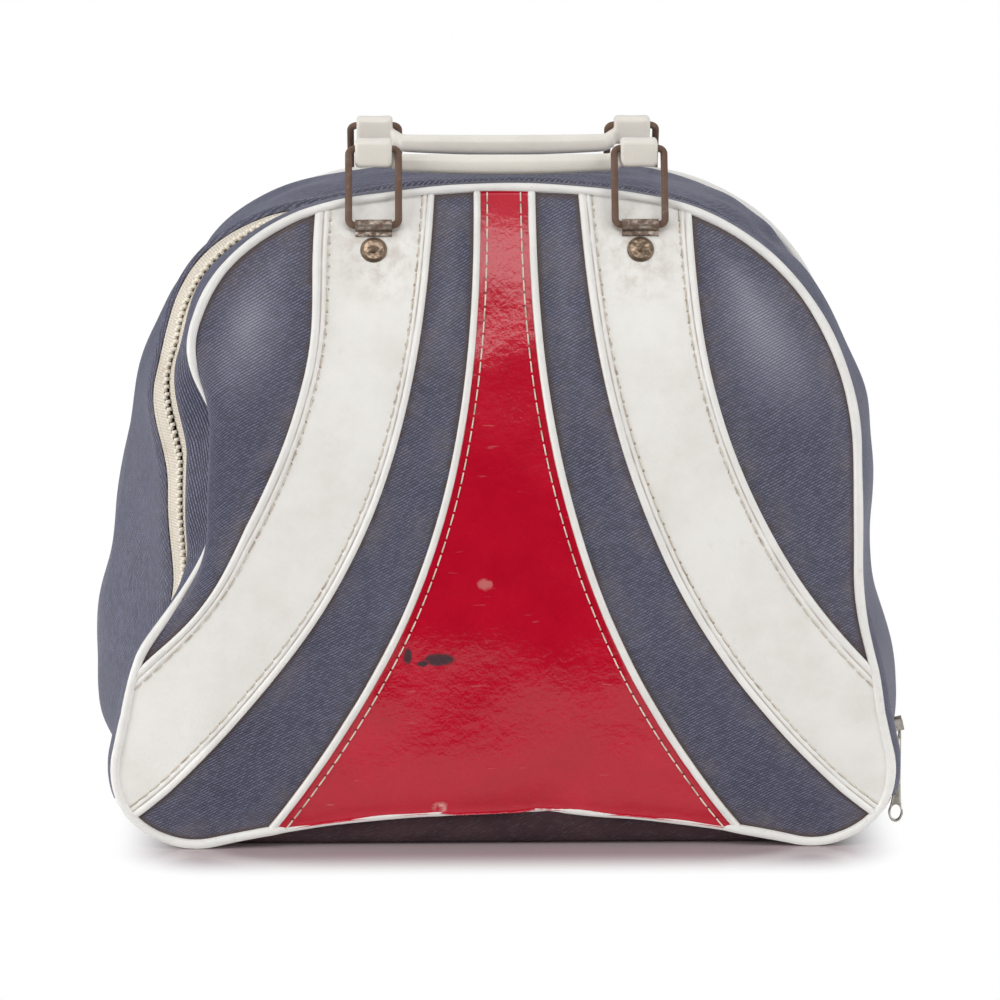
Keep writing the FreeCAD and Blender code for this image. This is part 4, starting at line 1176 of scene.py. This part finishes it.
# Depths behind the front face.
SEAM_DEPTH = 4.3 * MM
STRIP_BEND = 15 * MM
STRIP_DEPTH = 22 * MM
ZIP_DEPTH = 31.0 * MM
GUSSET_DEPTH = 42 * MM
TAPE_SPANS = {"front": (11.6 * MM, 29.0 * MM), "rear": (33.0 * MM, 46.6 * MM)}

CLOTH_SINK = 1.0 * MM
TAPE_SINK = 2.7 * MM
GUSSET_THICKNESS = 1.5 * MM
TAPE_THICKNESS = 0.9 * MM
HIDDEN_EDGE = 6 * MM
RING_STEPS = 520


def round_the_bag(count, foot):
    """Outline points from the left foot over the top to the right foot, and their share of the way."""
    bell = outline(False)
    reach = bell.length_to(foot)
    along = np.linspace(-reach, reach, count)
    return along, along / reach, *bell.at(along)


def zip_level(share, depth):
    """How far the strips by the zip stand out: proud on the left, sunk over the top and right shoulder."""
    sunk = ramp(share, -0.29, -0.20) * (1 - ramp(share, 0.58, 0.80))
    proud = ramp(share, -0.22, -0.40) * ramp(share, -0.90, -0.66)
    near = np.clip((depth - SEAM_DEPTH) / (STRIP_DEPTH - SEAM_DEPTH), 0, 1) ** 2
    far = np.clip((depth - STRIP_BEND) / (GUSSET_DEPTH - STRIP_BEND), 0, 1)
    return far * sizes().proud_zip * proud - near * sizes().valley * (0.21 + 0.64 * sunk) * (1 - proud)


def side_swell(z):
    """How far the rear gusset stands out at a height: most low down, none at its foot and at the top."""
    s = sizes()
    share = np.clip((z - STRIP_FOOT) / (s.height - STRIP_FOOT), 0, 1)
    return s.gusset_bulge * np.sin(math.pi * share ** 0.58)


def creases(along, share, across):
    """Soft folds of the gusset's cloth, low at its seams."""
    body = np.sin(math.pi * np.clip(across, 0, 1)) ** 0.6
    waves = sum(height * MM * ripple(along, across * 0.15, wavelength, seed)
                for height, wavelength, seed in ((1.1, 0.110, 0.7), (0.6, 0.047, 2.2)))
    fold = -3.5 * MM * hill(share - 0.16 * across, 0.30, 0.028) * ramp(across, 0.05, 0.5)
    drape = -2.6 * MM * hill(share + 0.10 * across, -0.34, 0.030) * ramp(across, 0.10, 0.6)
    return body * (waves + fold + drape)


def strip_out(along, share, across, z):
    """How far the front strip stands out: it rolls over its piping, most at the right foot."""
    low = 1 - ramp(z, 0.085, 0.135)
    roll = (1.6 + (1.3 + 1.6 * (along > 0)) * low) * MM * np.sin(math.pi * across * 0.9)
    level = zip_level(share, SEAM_DEPTH + across * (STRIP_DEPTH - SEAM_DEPTH))
    return roll - CLOTH_SINK + level + 0.3 * MM * ripple(along, across * 0.02, 0.06)


def gusset_out(along, share, across, z):
    """How far the rear gusset stands out: it bulges, with a soft lip and a tucked edge beside the zip."""
    bulge = side_swell(z) * 4 * across * (1 - across)
    level = zip_level(share, GUSSET_DEPTH) * (1 - across) ** 6
    lip = 1.4 * MM * hill(across, 0.045, 0.035)
    tuck = 1.5 * MM * (1 - ramp(across, 0, 0.022)) ** 2
    return bulge - CLOTH_SINK + level + lip - tuck + creases(along, share, across)


def tape_out(along, share, depth):
    return -TAPE_SINK + zip_level(share, depth) + 0.15 * MM * ripple(along, depth * 0.5, 0.05)


def ring_sheet(name, first, last, out, thickness, columns):
    """Sheet round the bag from one depth to another, or to a rule of height; out is how far it stands out."""
    along, share, x, z, normal_x, normal_z = round_the_bag(RING_STEPS, STRIP_FOOT)
    across = np.linspace(0, 1, columns)[:, None]
    start, end = front_y(z, first), last(z) if callable(last) else front_y(z, last)
    y = start + (end - start) * across
    stand = out(along, share, across, z)
    from_edge = np.minimum(across, 1 - across) * (end - start) + HIDDEN_EDGE
    skins = [settle(together(x + level * normal_x, y, z + level * normal_z))
             for level in (stand, stand - thickness)]
    return slab(name, *skins, {"cloth": together(along, y), "seam": together(from_edge, along)})


def rear_seam(z):
    return -front_y(z, SEAM_DEPTH)


def make_gussets():
    """Strip between the front piping and the zip, and the wide gusset between the zip and the rear piping."""
    piece = ring_sheet("front_strip", SEAM_DEPTH, STRIP_DEPTH, strip_out, GUSSET_THICKNESS, 13)
    carried(piece, "front", "navy_cloth", navy_cloth, "front_gusset")
    piece = ring_sheet("rear_gusset_cloth", GUSSET_DEPTH, rear_seam, gusset_out, GUSSET_THICKNESS, 56)
    carried(piece, "rear", "navy_cloth", navy_cloth, "rear_gusset")


TOOTH_HALF = (0.80 * MM, 1.9 * MM, 1.15 * MM)
TOOTH_LEVELS = [(-1.0, 1.0), (0.45, 1.0), (1.0, 0.62)]
TOOTH_PLACES = 460
TOOTH_RISE = 0.5 * MM
TEETH_APART = 0.7 * MM
ZIP_END = 2.5 * MM


def tooth(middle, ahead, outward, sideways):
    """One moulded tooth: a block with a bevelled top."""
    half_long, half_wide, half_high = TOOTH_HALF
    ring = np.array([(-1, -1), (1, -1), (1, 1), (-1, 1)])
    long, wide = ring[:, :1] * half_long * ahead, ring[:, 1:] * half_wide * sideways
    points = np.vstack([middle + (long + wide) * size + level * half_high * outward
                        for level, size in TOOTH_LEVELS])
    faces = [(3, 2, 1, 0), (8, 9, 10, 11)]
    for base in (0, 4):
        faces += [(base + i, base + (i + 1) % 4, base + 4 + (i + 1) % 4, base + 4 + i) for i in range(4)]
    return points, faces, np.zeros((len(points), 2))


def make_teeth(side):
    """One row of moulded teeth; the two rows take turns along the zip."""
    along, share, x, z, normal_x, normal_z = round_the_bag(TOOTH_PLACES, STRIP_FOOT + ZIP_END)
    depth = ZIP_DEPTH + SIDES[side] * TEETH_APART
    level = tape_out(along, share, depth) + TOOTH_RISE
    middle = settle(together(x + level * normal_x, front_y(z, depth), z + level * normal_z))
    ahead = normalised(np.gradient(middle, axis=0))
    outward = together(normal_x, 0, normal_z)
    outward = normalised(outward - ahead * (outward * ahead).sum(1, keepdims=True))
    sideways = np.cross(ahead, outward)
    places = list(zip(middle, ahead, outward, sideways))[1 if side == "rear" else 0::2]
    teeth = [tooth(*place) for place in places]
    carried(join_meshes(side + "_teeth", teeth), side, "cream_teeth", cream_teeth, side + "_zip_teeth")


def make_zip():
    """Two tapes and two rows of moulded teeth."""
    for side, (first, last) in TAPE_SPANS.items():
        def out(along, share, across, z):
            return tape_out(along, share, first + across * (last - first))

        piece = ring_sheet(side + "_tape", first, last, out, TAPE_THICKNESS, 14)
        carried(piece, side, "cream_tape", cream_tape, side + "_zip_tape")
        make_teeth(side)


BASE_ROUND = 8 * MM
TRAY_INSETS = (0.2 * MM, 2.4 * MM)
WALL_INSETS = (0.1 * MM, 2.3 * MM)
WALL_WIDTH = 0.996
BASE_COLUMNS = 70
TRAY_ROWS = 40
WALL_ROWS = 14


def base_half(height):
    """Half the base's depth at a height: its long lower edges are rounded."""
    under = 1 - np.clip(height / BASE_ROUND, 0, 1)
    return -BASE_BOX[0].y - BASE_ROUND * (1 - np.sqrt(1 - under ** 2))


def make_base():
    """Soft tray under the bag, rounded up behind the faces' hems."""
    bell, top = outline(False), BASE_BOX[1].z
    reach = bell.length_to(top)
    along = np.linspace(-reach, -bell.total, BASE_COLUMNS)
    along = np.concatenate([along, -along[-2::-1]])
    x, z, normal_x, normal_z = bell.at(along)
    y = np.linspace(-1, 1, TRAY_ROWS)[:, None] * base_half(z)
    layers = {"cloth": together(walked(x, z), y), "seam": together(base_half(z) - np.abs(y), x)}
    skins = [together(x - inset * normal_x, y, z - inset * normal_z) for inset in TRAY_INSETS]
    tray = slab("base_tray", *skins, layers)
    lift = z + (top - z) * np.linspace(0, 1, WALL_ROWS)[:, None] ** 1.5
    wall_x = WALL_WIDTH * x
    layers = {"cloth": together(wall_x, lift), "seam": together(lift, wall_x)}
    walls = [slab(f"base_wall_{sign + 1}", *(together(wall_x, sign * (base_half(lift) - inset), lift)
                                             for inset in WALL_INSETS), layers) for sign in SIDES.values()]
    for piece in (tray, *walls):
        piece.data.materials.append(finish(shaded_base_cloth))
        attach(piece, "root")
    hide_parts("base_cover")
    dress(grey_board, "base_board")
    dress(plated_wire, "ball_ring")
    dress(aged_steel_strip, "ring_clips")
    dress(aged_brass_rivet, "ring_clip_rivets")


# ---------------------------------------------------------------- fittings and handles

def make_fittings():
    """Finishes of the frame's own metal pieces, and the pull."""
    for side in SIDES:
        for hand in HANDS:
            dress(rusty_wire, f"{side}_{hand}_loop")
            dress(aged_steel_strip, f"{side}_{hand}_chape")
            dress(aged_brass_rivet, f"{side}_{hand}_rivet")
        dress(aged_steel_strip, side + "_rivet_washers")
    dress(zip_metal, "zip_stops", "zip_slider")
    make_pull()


def oval_ring(x, middle, half, squareness):
    """Ring of points across the X axis: an oval, squarer as squareness rises from 2."""
    angle = np.linspace(0, FULL_TURN, 40, endpoint=False)
    y, z = (centre + reach * np.sign(wave) * np.abs(wave) ** (2 / squareness)
            for centre, reach, wave in zip(middle, half, (np.cos(angle), np.sin(angle))))
    return together(x, y, z)


LUG_INNER_END = 51.2 * MM
LUG_MIDDLE = np.array([-36.9, 301.6]) * MM
LUG_HALF = np.array([6.0, 6.4]) * MM
# Steps outwards in millimetres, and the size of the lug there.
LUG_STEPS = [(0, 0.80), (0.5, 0.94), (1.4, 1.0), (8.3, 0.97), (15.2, 1.0), (16.1, 0.94), (16.6, 0.80)]
GRIP_MIDDLE = np.array([-31.6, 295.3]) * MM
GRIP_HALF = np.array([4.9, 4.5]) * MM
GRIP_DROOP = 1.1 * MM
GRIP_THINNING = 0.7 * MM
GRIP_FLARE = 0.6 * MM
LUG_SQUARENESS = 5.0
GRIP_SQUARENESS = 2.6
GRIP_RINGS = 49
HANDLE_VOXEL = 0.6 * MM


def handle_rings():
    """Rings from one end of a handle to the other: a square lug, the drooping grip and the other lug."""
    rings = []
    for share in np.linspace(-1, 1, GRIP_RINGS):
        near = ramp(abs(share), 0.90, 1.0)
        middle = GRIP_MIDDLE + (LUG_MIDDLE - GRIP_MIDDLE) * near * (0.45, 0.30) + (0, GRIP_DROOP * share ** 2)
        half = GRIP_HALF + (0, GRIP_FLARE * near - GRIP_THINNING * share ** 2)
        rings.append(oval_ring(share * LUG_INNER_END, middle, half, GRIP_SQUARENESS))
    lug = [oval_ring(LUG_INNER_END + step * MM, LUG_MIDDLE, LUG_HALF * size, LUG_SQUARENESS)
           for step, size in LUG_STEPS]
    other = [ring * (-1, 1, 1) for ring in lug[::-1]]
    return np.array(other + rings + lug)


def make_handles():
    """Moulded handles: a slim drooping grip between two square lugs that the wire loops pass through."""
    for side, sign in SIDES.items():
        points = handle_rings() * (1, -sign, 1)
        faces = capped_faces(*points.shape[:2])
        if side == "front":
            faces = [face[::-1] for face in faces]
        piece = new_object(side + "_moulded_handle", points.reshape(-1, 3), faces)
        remesh = piece.modifiers.new("rounding", "REMESH")
        remesh.mode, remesh.voxel_size, remesh.use_smooth_shade = "VOXEL", HANDLE_VOXEL, True
        soften = piece.modifiers.new("softening", "SMOOTH")
        soften.factor, soften.iterations = 0.5, 6
        fitted(piece, "white_moulding", white_moulding, side + "_handle")
        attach(piece, side + "_handle")


PULL_PIN = (176.6 * MM, -84.0 * MM, 48.9 * MM)
PULL_TURN = math.radians(1.9)
PULL_HALF_THICK = 0.55 * MM
PULL_EYE = 41.4 * MM
EYE_HALF = np.array([3.3, 4.6]) * MM
HOLE_HALF = np.array([2.3, 3.5]) * MM
STRAP_HALF = 0.7 * MM


def pull_outlines():
    """Across and down from the pin, for the teardrop's rim and then for the hole of its eye."""
    turn = np.linspace(0, FULL_TURN, 96, endpoint=False)
    side, low = np.cos(turn), np.sin(turn)
    rise, width = np.clip(-low, 0, 1), np.abs(side)
    taper = STRAP_HALF * np.clip(4 * width, 0, 1) + (EYE_HALF[0] - STRAP_HALF) * width ** 2.2
    across = np.where(low > 0, EYE_HALF[0] * side, np.sign(side) * taper)
    down = np.where(low > 0, EYE_HALF[1] * low, -EYE_HALF[1] * rise - (PULL_EYE - EYE_HALF[1]) * rise ** 6)
    return np.vstack([together(across, down), together(side, low) * HOLE_HALF]) + (0, PULL_EYE)


def make_pull():
    """Pull: a flat teardrop that hangs from the slider's pin, with an oval eye that faces the front."""
    across, down = pull_outlines().T
    x = PULL_PIN[0] + across * math.cos(PULL_TURN) - down * math.sin(PULL_TURN)
    z = PULL_PIN[2] - down * math.cos(PULL_TURN) - across * math.sin(PULL_TURN)
    points = np.vstack([together(x, PULL_PIN[1] + side * PULL_HALF_THICK, z) for side in (-1, 1)])
    count = len(across) // 2
    rim = np.arange(count)
    after = (rim + 1) % count
    behind, behind_after = rim + 2 * count, after + 2 * count
    faces = np.stack([together(rim, after, count + after, count + rim),
                      together(behind, count + behind, count + behind_after, behind_after),
                      together(after, rim, behind, behind_after),
                      together(count + rim, count + after, count + behind_after, count + behind)], 1)
    piece = join_meshes("pull_tab", [(points, faces.reshape(-1, 4), np.zeros((len(points), 2)))])
    fitted(piece, "zip_metal", zip_metal, "zip_pull")
    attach(piece, "zip_pull")


# ---------------------------------------------------------------- stage

# Each lamp's place, the point it faces, its width and height, and its power in watts.
LAMPS = {
    "overhead": ((0.0, -0.05, 1.7), (0, 0, 0.1), (2.2, 1.3), 3),
    "softbox": ((-0.1, -1.02, 1.56), (0, 0, 0.2), (1.4, 0.5), 8),
    "left": ((-1.80, -0.75, 0.62), (0, 0, 0.12), (1.2, 1.0), 25),
    "right": ((1.60, -1.10, 0.62), (0, 0, 0.12), (1.2, 1.0), 17),
    "rear": ((0.2, 1.9, 1.3), (0, 0, 0.2), (1.6, 1.2), 3.5),
}
TABLE_WHITE = (0.94, 0.94, 0.94)
# Painted shade with a painted pinkish reflection of the red panel, for the table near the bag.
TABLE_SHADED = (0.46, 0.37, 0.39)
PURE_WHITE = (1.0, 1.0, 1.0)
COOL_WHITE = (0.96, 0.98, 1.0)
GLOSSY_SHARE = 0.75
# The table's painted shadow, a darker pinkish colour, lies round a block this much narrower than the bag, and
# fades out over a distance.
SHADOW_INSET = 0.042
SHADOW_FADE = (0.006, 0.046)


def floor_finish():
    """Satin white table; near the bag it shows a painted shadow with a painted pinkish reflection, and away
    from it plain white.
    """
    f = Finish("floor")
    seen = f.ray("Camera").larger(f.ray("Transmission")).larger(f.ray("Glossy") * GLOSSY_SHARE)
    x, y, _ = f.parts(f.solid_place())
    beside = (abs(x) - (sizes().half_base - SHADOW_INSET)).larger(0.0)
    ahead = (abs(y) - sizes().half_depth).larger(0.0)
    away = ((beside ** 2.0 + ahead ** 2.0) ** 0.5).between(*SHADOW_FADE)
    white = f.node("ShaderNodeEmission", inputs={"Color": PURE_WHITE, "Strength": 1.0})
    # The shaded table's darker base colour is a painted shadow.
    plain, shaded = (f.principled(Base_Color=tone, Roughness=0.18, Specular_IOR_Level=0.50)
                     for tone in (TABLE_WHITE, TABLE_SHADED))
    return f.shown(f.layered(seen, plain, f.layered(away, shaded, white)))


def make_world():
    """Dim studio light from above and behind; the camera sees plain white."""
    f = Finish("studio", "worlds")
    _, y, z = f.parts(f.node("ShaderNodeTexCoord", output="Generated"))
    level = z.between(0.30, 0.85) * 0.32 + y.between(-0.35, 0.5) * 0.42 + 0.05
    tint, white = (f.node("ShaderNodeBackground", inputs={"Color": tone, "Strength": strength})
                   for tone, strength in ((COOL_WHITE, level), (PURE_WHITE, 1.0)))
    bpy.context.scene.world = f.shown(f.layered(f.ray("Camera"), tint, white), "World")


def make_lamp(name, place, target, size, power):
    light = bpy.data.lights.new(name, "AREA")
    light.shape, light.size, light.size_y, light.energy = "RECTANGLE", *size, power
    holder = bpy.data.objects.new(name, light)
    bpy.context.scene.collection.objects.link(holder)
    holder.location = place
    holder.rotation_euler = (Vector(target) - Vector(place)).to_track_quat("-Z", "Y").to_euler()


CAMERA_TARGET = (-0.0036, -0.083, 0.152)
SENSOR_WIDTH = 36.0


def make_camera():
    """Camera with a long lens, a little above the bag."""
    stage, scene = bpy.context.scene.bag_stage, bpy.context.scene
    azimuth, elevation = stage.camera_azimuth, stage.camera_elevation
    back = Vector((math.sin(azimuth) * math.cos(elevation), -math.cos(azimuth) * math.cos(elevation),
                   math.sin(elevation)))
    camera = bpy.data.objects.new("camera", bpy.data.cameras.new("camera"))
    scene.collection.objects.link(camera)
    camera.data.lens, camera.data.sensor_width = stage.camera_lens, SENSOR_WIDTH
    camera.location = Vector(CAMERA_TARGET) + back * stage.camera_distance
    camera.rotation_euler = back.to_track_quat("Z", "Y").to_euler()
    scene.camera = camera


def make_stage():
    """White table, world, lamps and camera."""
    stage = bpy.context.scene.bag_stage
    half, front = stage.floor_size / 2, -stage.floor_front
    floor = new_object("floor", [(-half, front, 0), (half, front, 0), (half, half, 0), (-half, half, 0)],
                       [(0, 1, 2, 3)])
    floor.data.materials.append(floor_finish())
    make_world()
    for name, settings in LAMPS.items():
        make_lamp(name, *settings)
    bpy.context.scene.view_settings.view_transform = "Standard"
    make_camera()


# ---------------------------------------------------------------- operators and panel

def both_sides(maker):
    for side in SIDES:
        maker(side)


class BAG_OT_stage(Operator):
    """Floor, lamps, world and camera"""
    bl_idname = "bag.stage"
    bl_label = "Stage"

    def execute(self, context):
        make_stage()
        return {"FINISHED"}


class BAG_OT_cloth(Operator):
    """Embossed cloth of both faces and the boards behind it"""
    bl_idname = "bag.cloth"
    bl_label = "Face cloth and boards"

    def execute(self, context):
        both_sides(make_cloth)
        both_sides(make_board)
        return {"FINISHED"}


class BAG_OT_vinyl(Operator):
    """White bands and red middle panels"""
    bl_idname = "bag.vinyl"
    bl_label = "Vinyl bands and panels"

    def execute(self, context):
        both_sides(make_bands)
        return {"FINISHED"}


class BAG_OT_trim(Operator):
    """Welts, stitches and edge piping of both faces"""
    bl_idname = "bag.trim"
    bl_label = "Welts, stitches and piping"

    def execute(self, context):
        both_sides(make_trim)
        both_sides(make_piping)
        return {"FINISHED"}


class BAG_OT_gussets(Operator):
    """Strips round the sides and top"""
    bl_idname = "bag.gussets"
    bl_label = "Gussets"

    def execute(self, context):
        make_gussets()
        return {"FINISHED"}


class BAG_OT_zip(Operator):
    """Zip tapes and teeth"""
    bl_idname = "bag.zip"
    bl_label = "Zip"

    def execute(self, context):
        make_zip()
        return {"FINISHED"}


class BAG_OT_base(Operator):
    """Base tray, board and ball ring"""
    bl_idname = "bag.base"
    bl_label = "Base"

    def execute(self, context):
        make_base()
        return {"FINISHED"}


class BAG_OT_fittings(Operator):
    """Wire loops, chapes, rivets, slider and pull"""
    bl_idname = "bag.fittings"
    bl_label = "Metal fittings"

    def execute(self, context):
        make_fittings()
        return {"FINISHED"}


class BAG_OT_handles(Operator):
    """Moulded handles"""
    bl_idname = "bag.handles"
    bl_label = "Handles"

    def execute(self, context):
        make_handles()
        return {"FINISHED"}


OPERATORS = (BAG_OT_stage, BAG_OT_cloth, BAG_OT_vinyl, BAG_OT_trim, BAG_OT_gussets, BAG_OT_zip,
             BAG_OT_base, BAG_OT_fittings, BAG_OT_handles)


class BAG_PT_panel(Panel):
    """Sizes, colours and the steps that build the bag"""
    bl_idname = "BAG_PT_panel"
    bl_label = "Bowling ball bag"
    bl_space_type = "VIEW_3D"
    bl_region_type = "UI"
    bl_category = "Bag"

    def draw(self, context):
        for group in (context.scene.bag_sizes, context.scene.bag_colours, context.scene.bag_stage):
            box = self.layout.box()
            for name in group.__annotations__:
                box.prop(group, name)
        for operator in OPERATORS:
            self.layout.operator(operator.bl_idname)


CLASSES = (BagSizes, BagColours, StageSettings) + OPERATORS + (BAG_PT_panel,)


def register():
    for item in CLASSES:
        bpy.utils.register_class(item)
    bpy.types.Scene.bag_sizes = PointerProperty(type=BagSizes)
    bpy.types.Scene.bag_colours = PointerProperty(type=BagColours)
    bpy.types.Scene.bag_stage = PointerProperty(type=StageSettings)


def unregister():
    del bpy.types.Scene.bag_sizes, bpy.types.Scene.bag_colours, bpy.types.Scene.bag_stage
    for item in reversed(CLASSES):
        bpy.utils.unregister_class(item)


def main():
    register()
    for operator in OPERATORS:
        family, name = operator.bl_idname.split(".")
        getattr(getattr(bpy.ops, family), name)()
    bpy.context.view_layer.update()


if __name__ == "__main__":
    main()
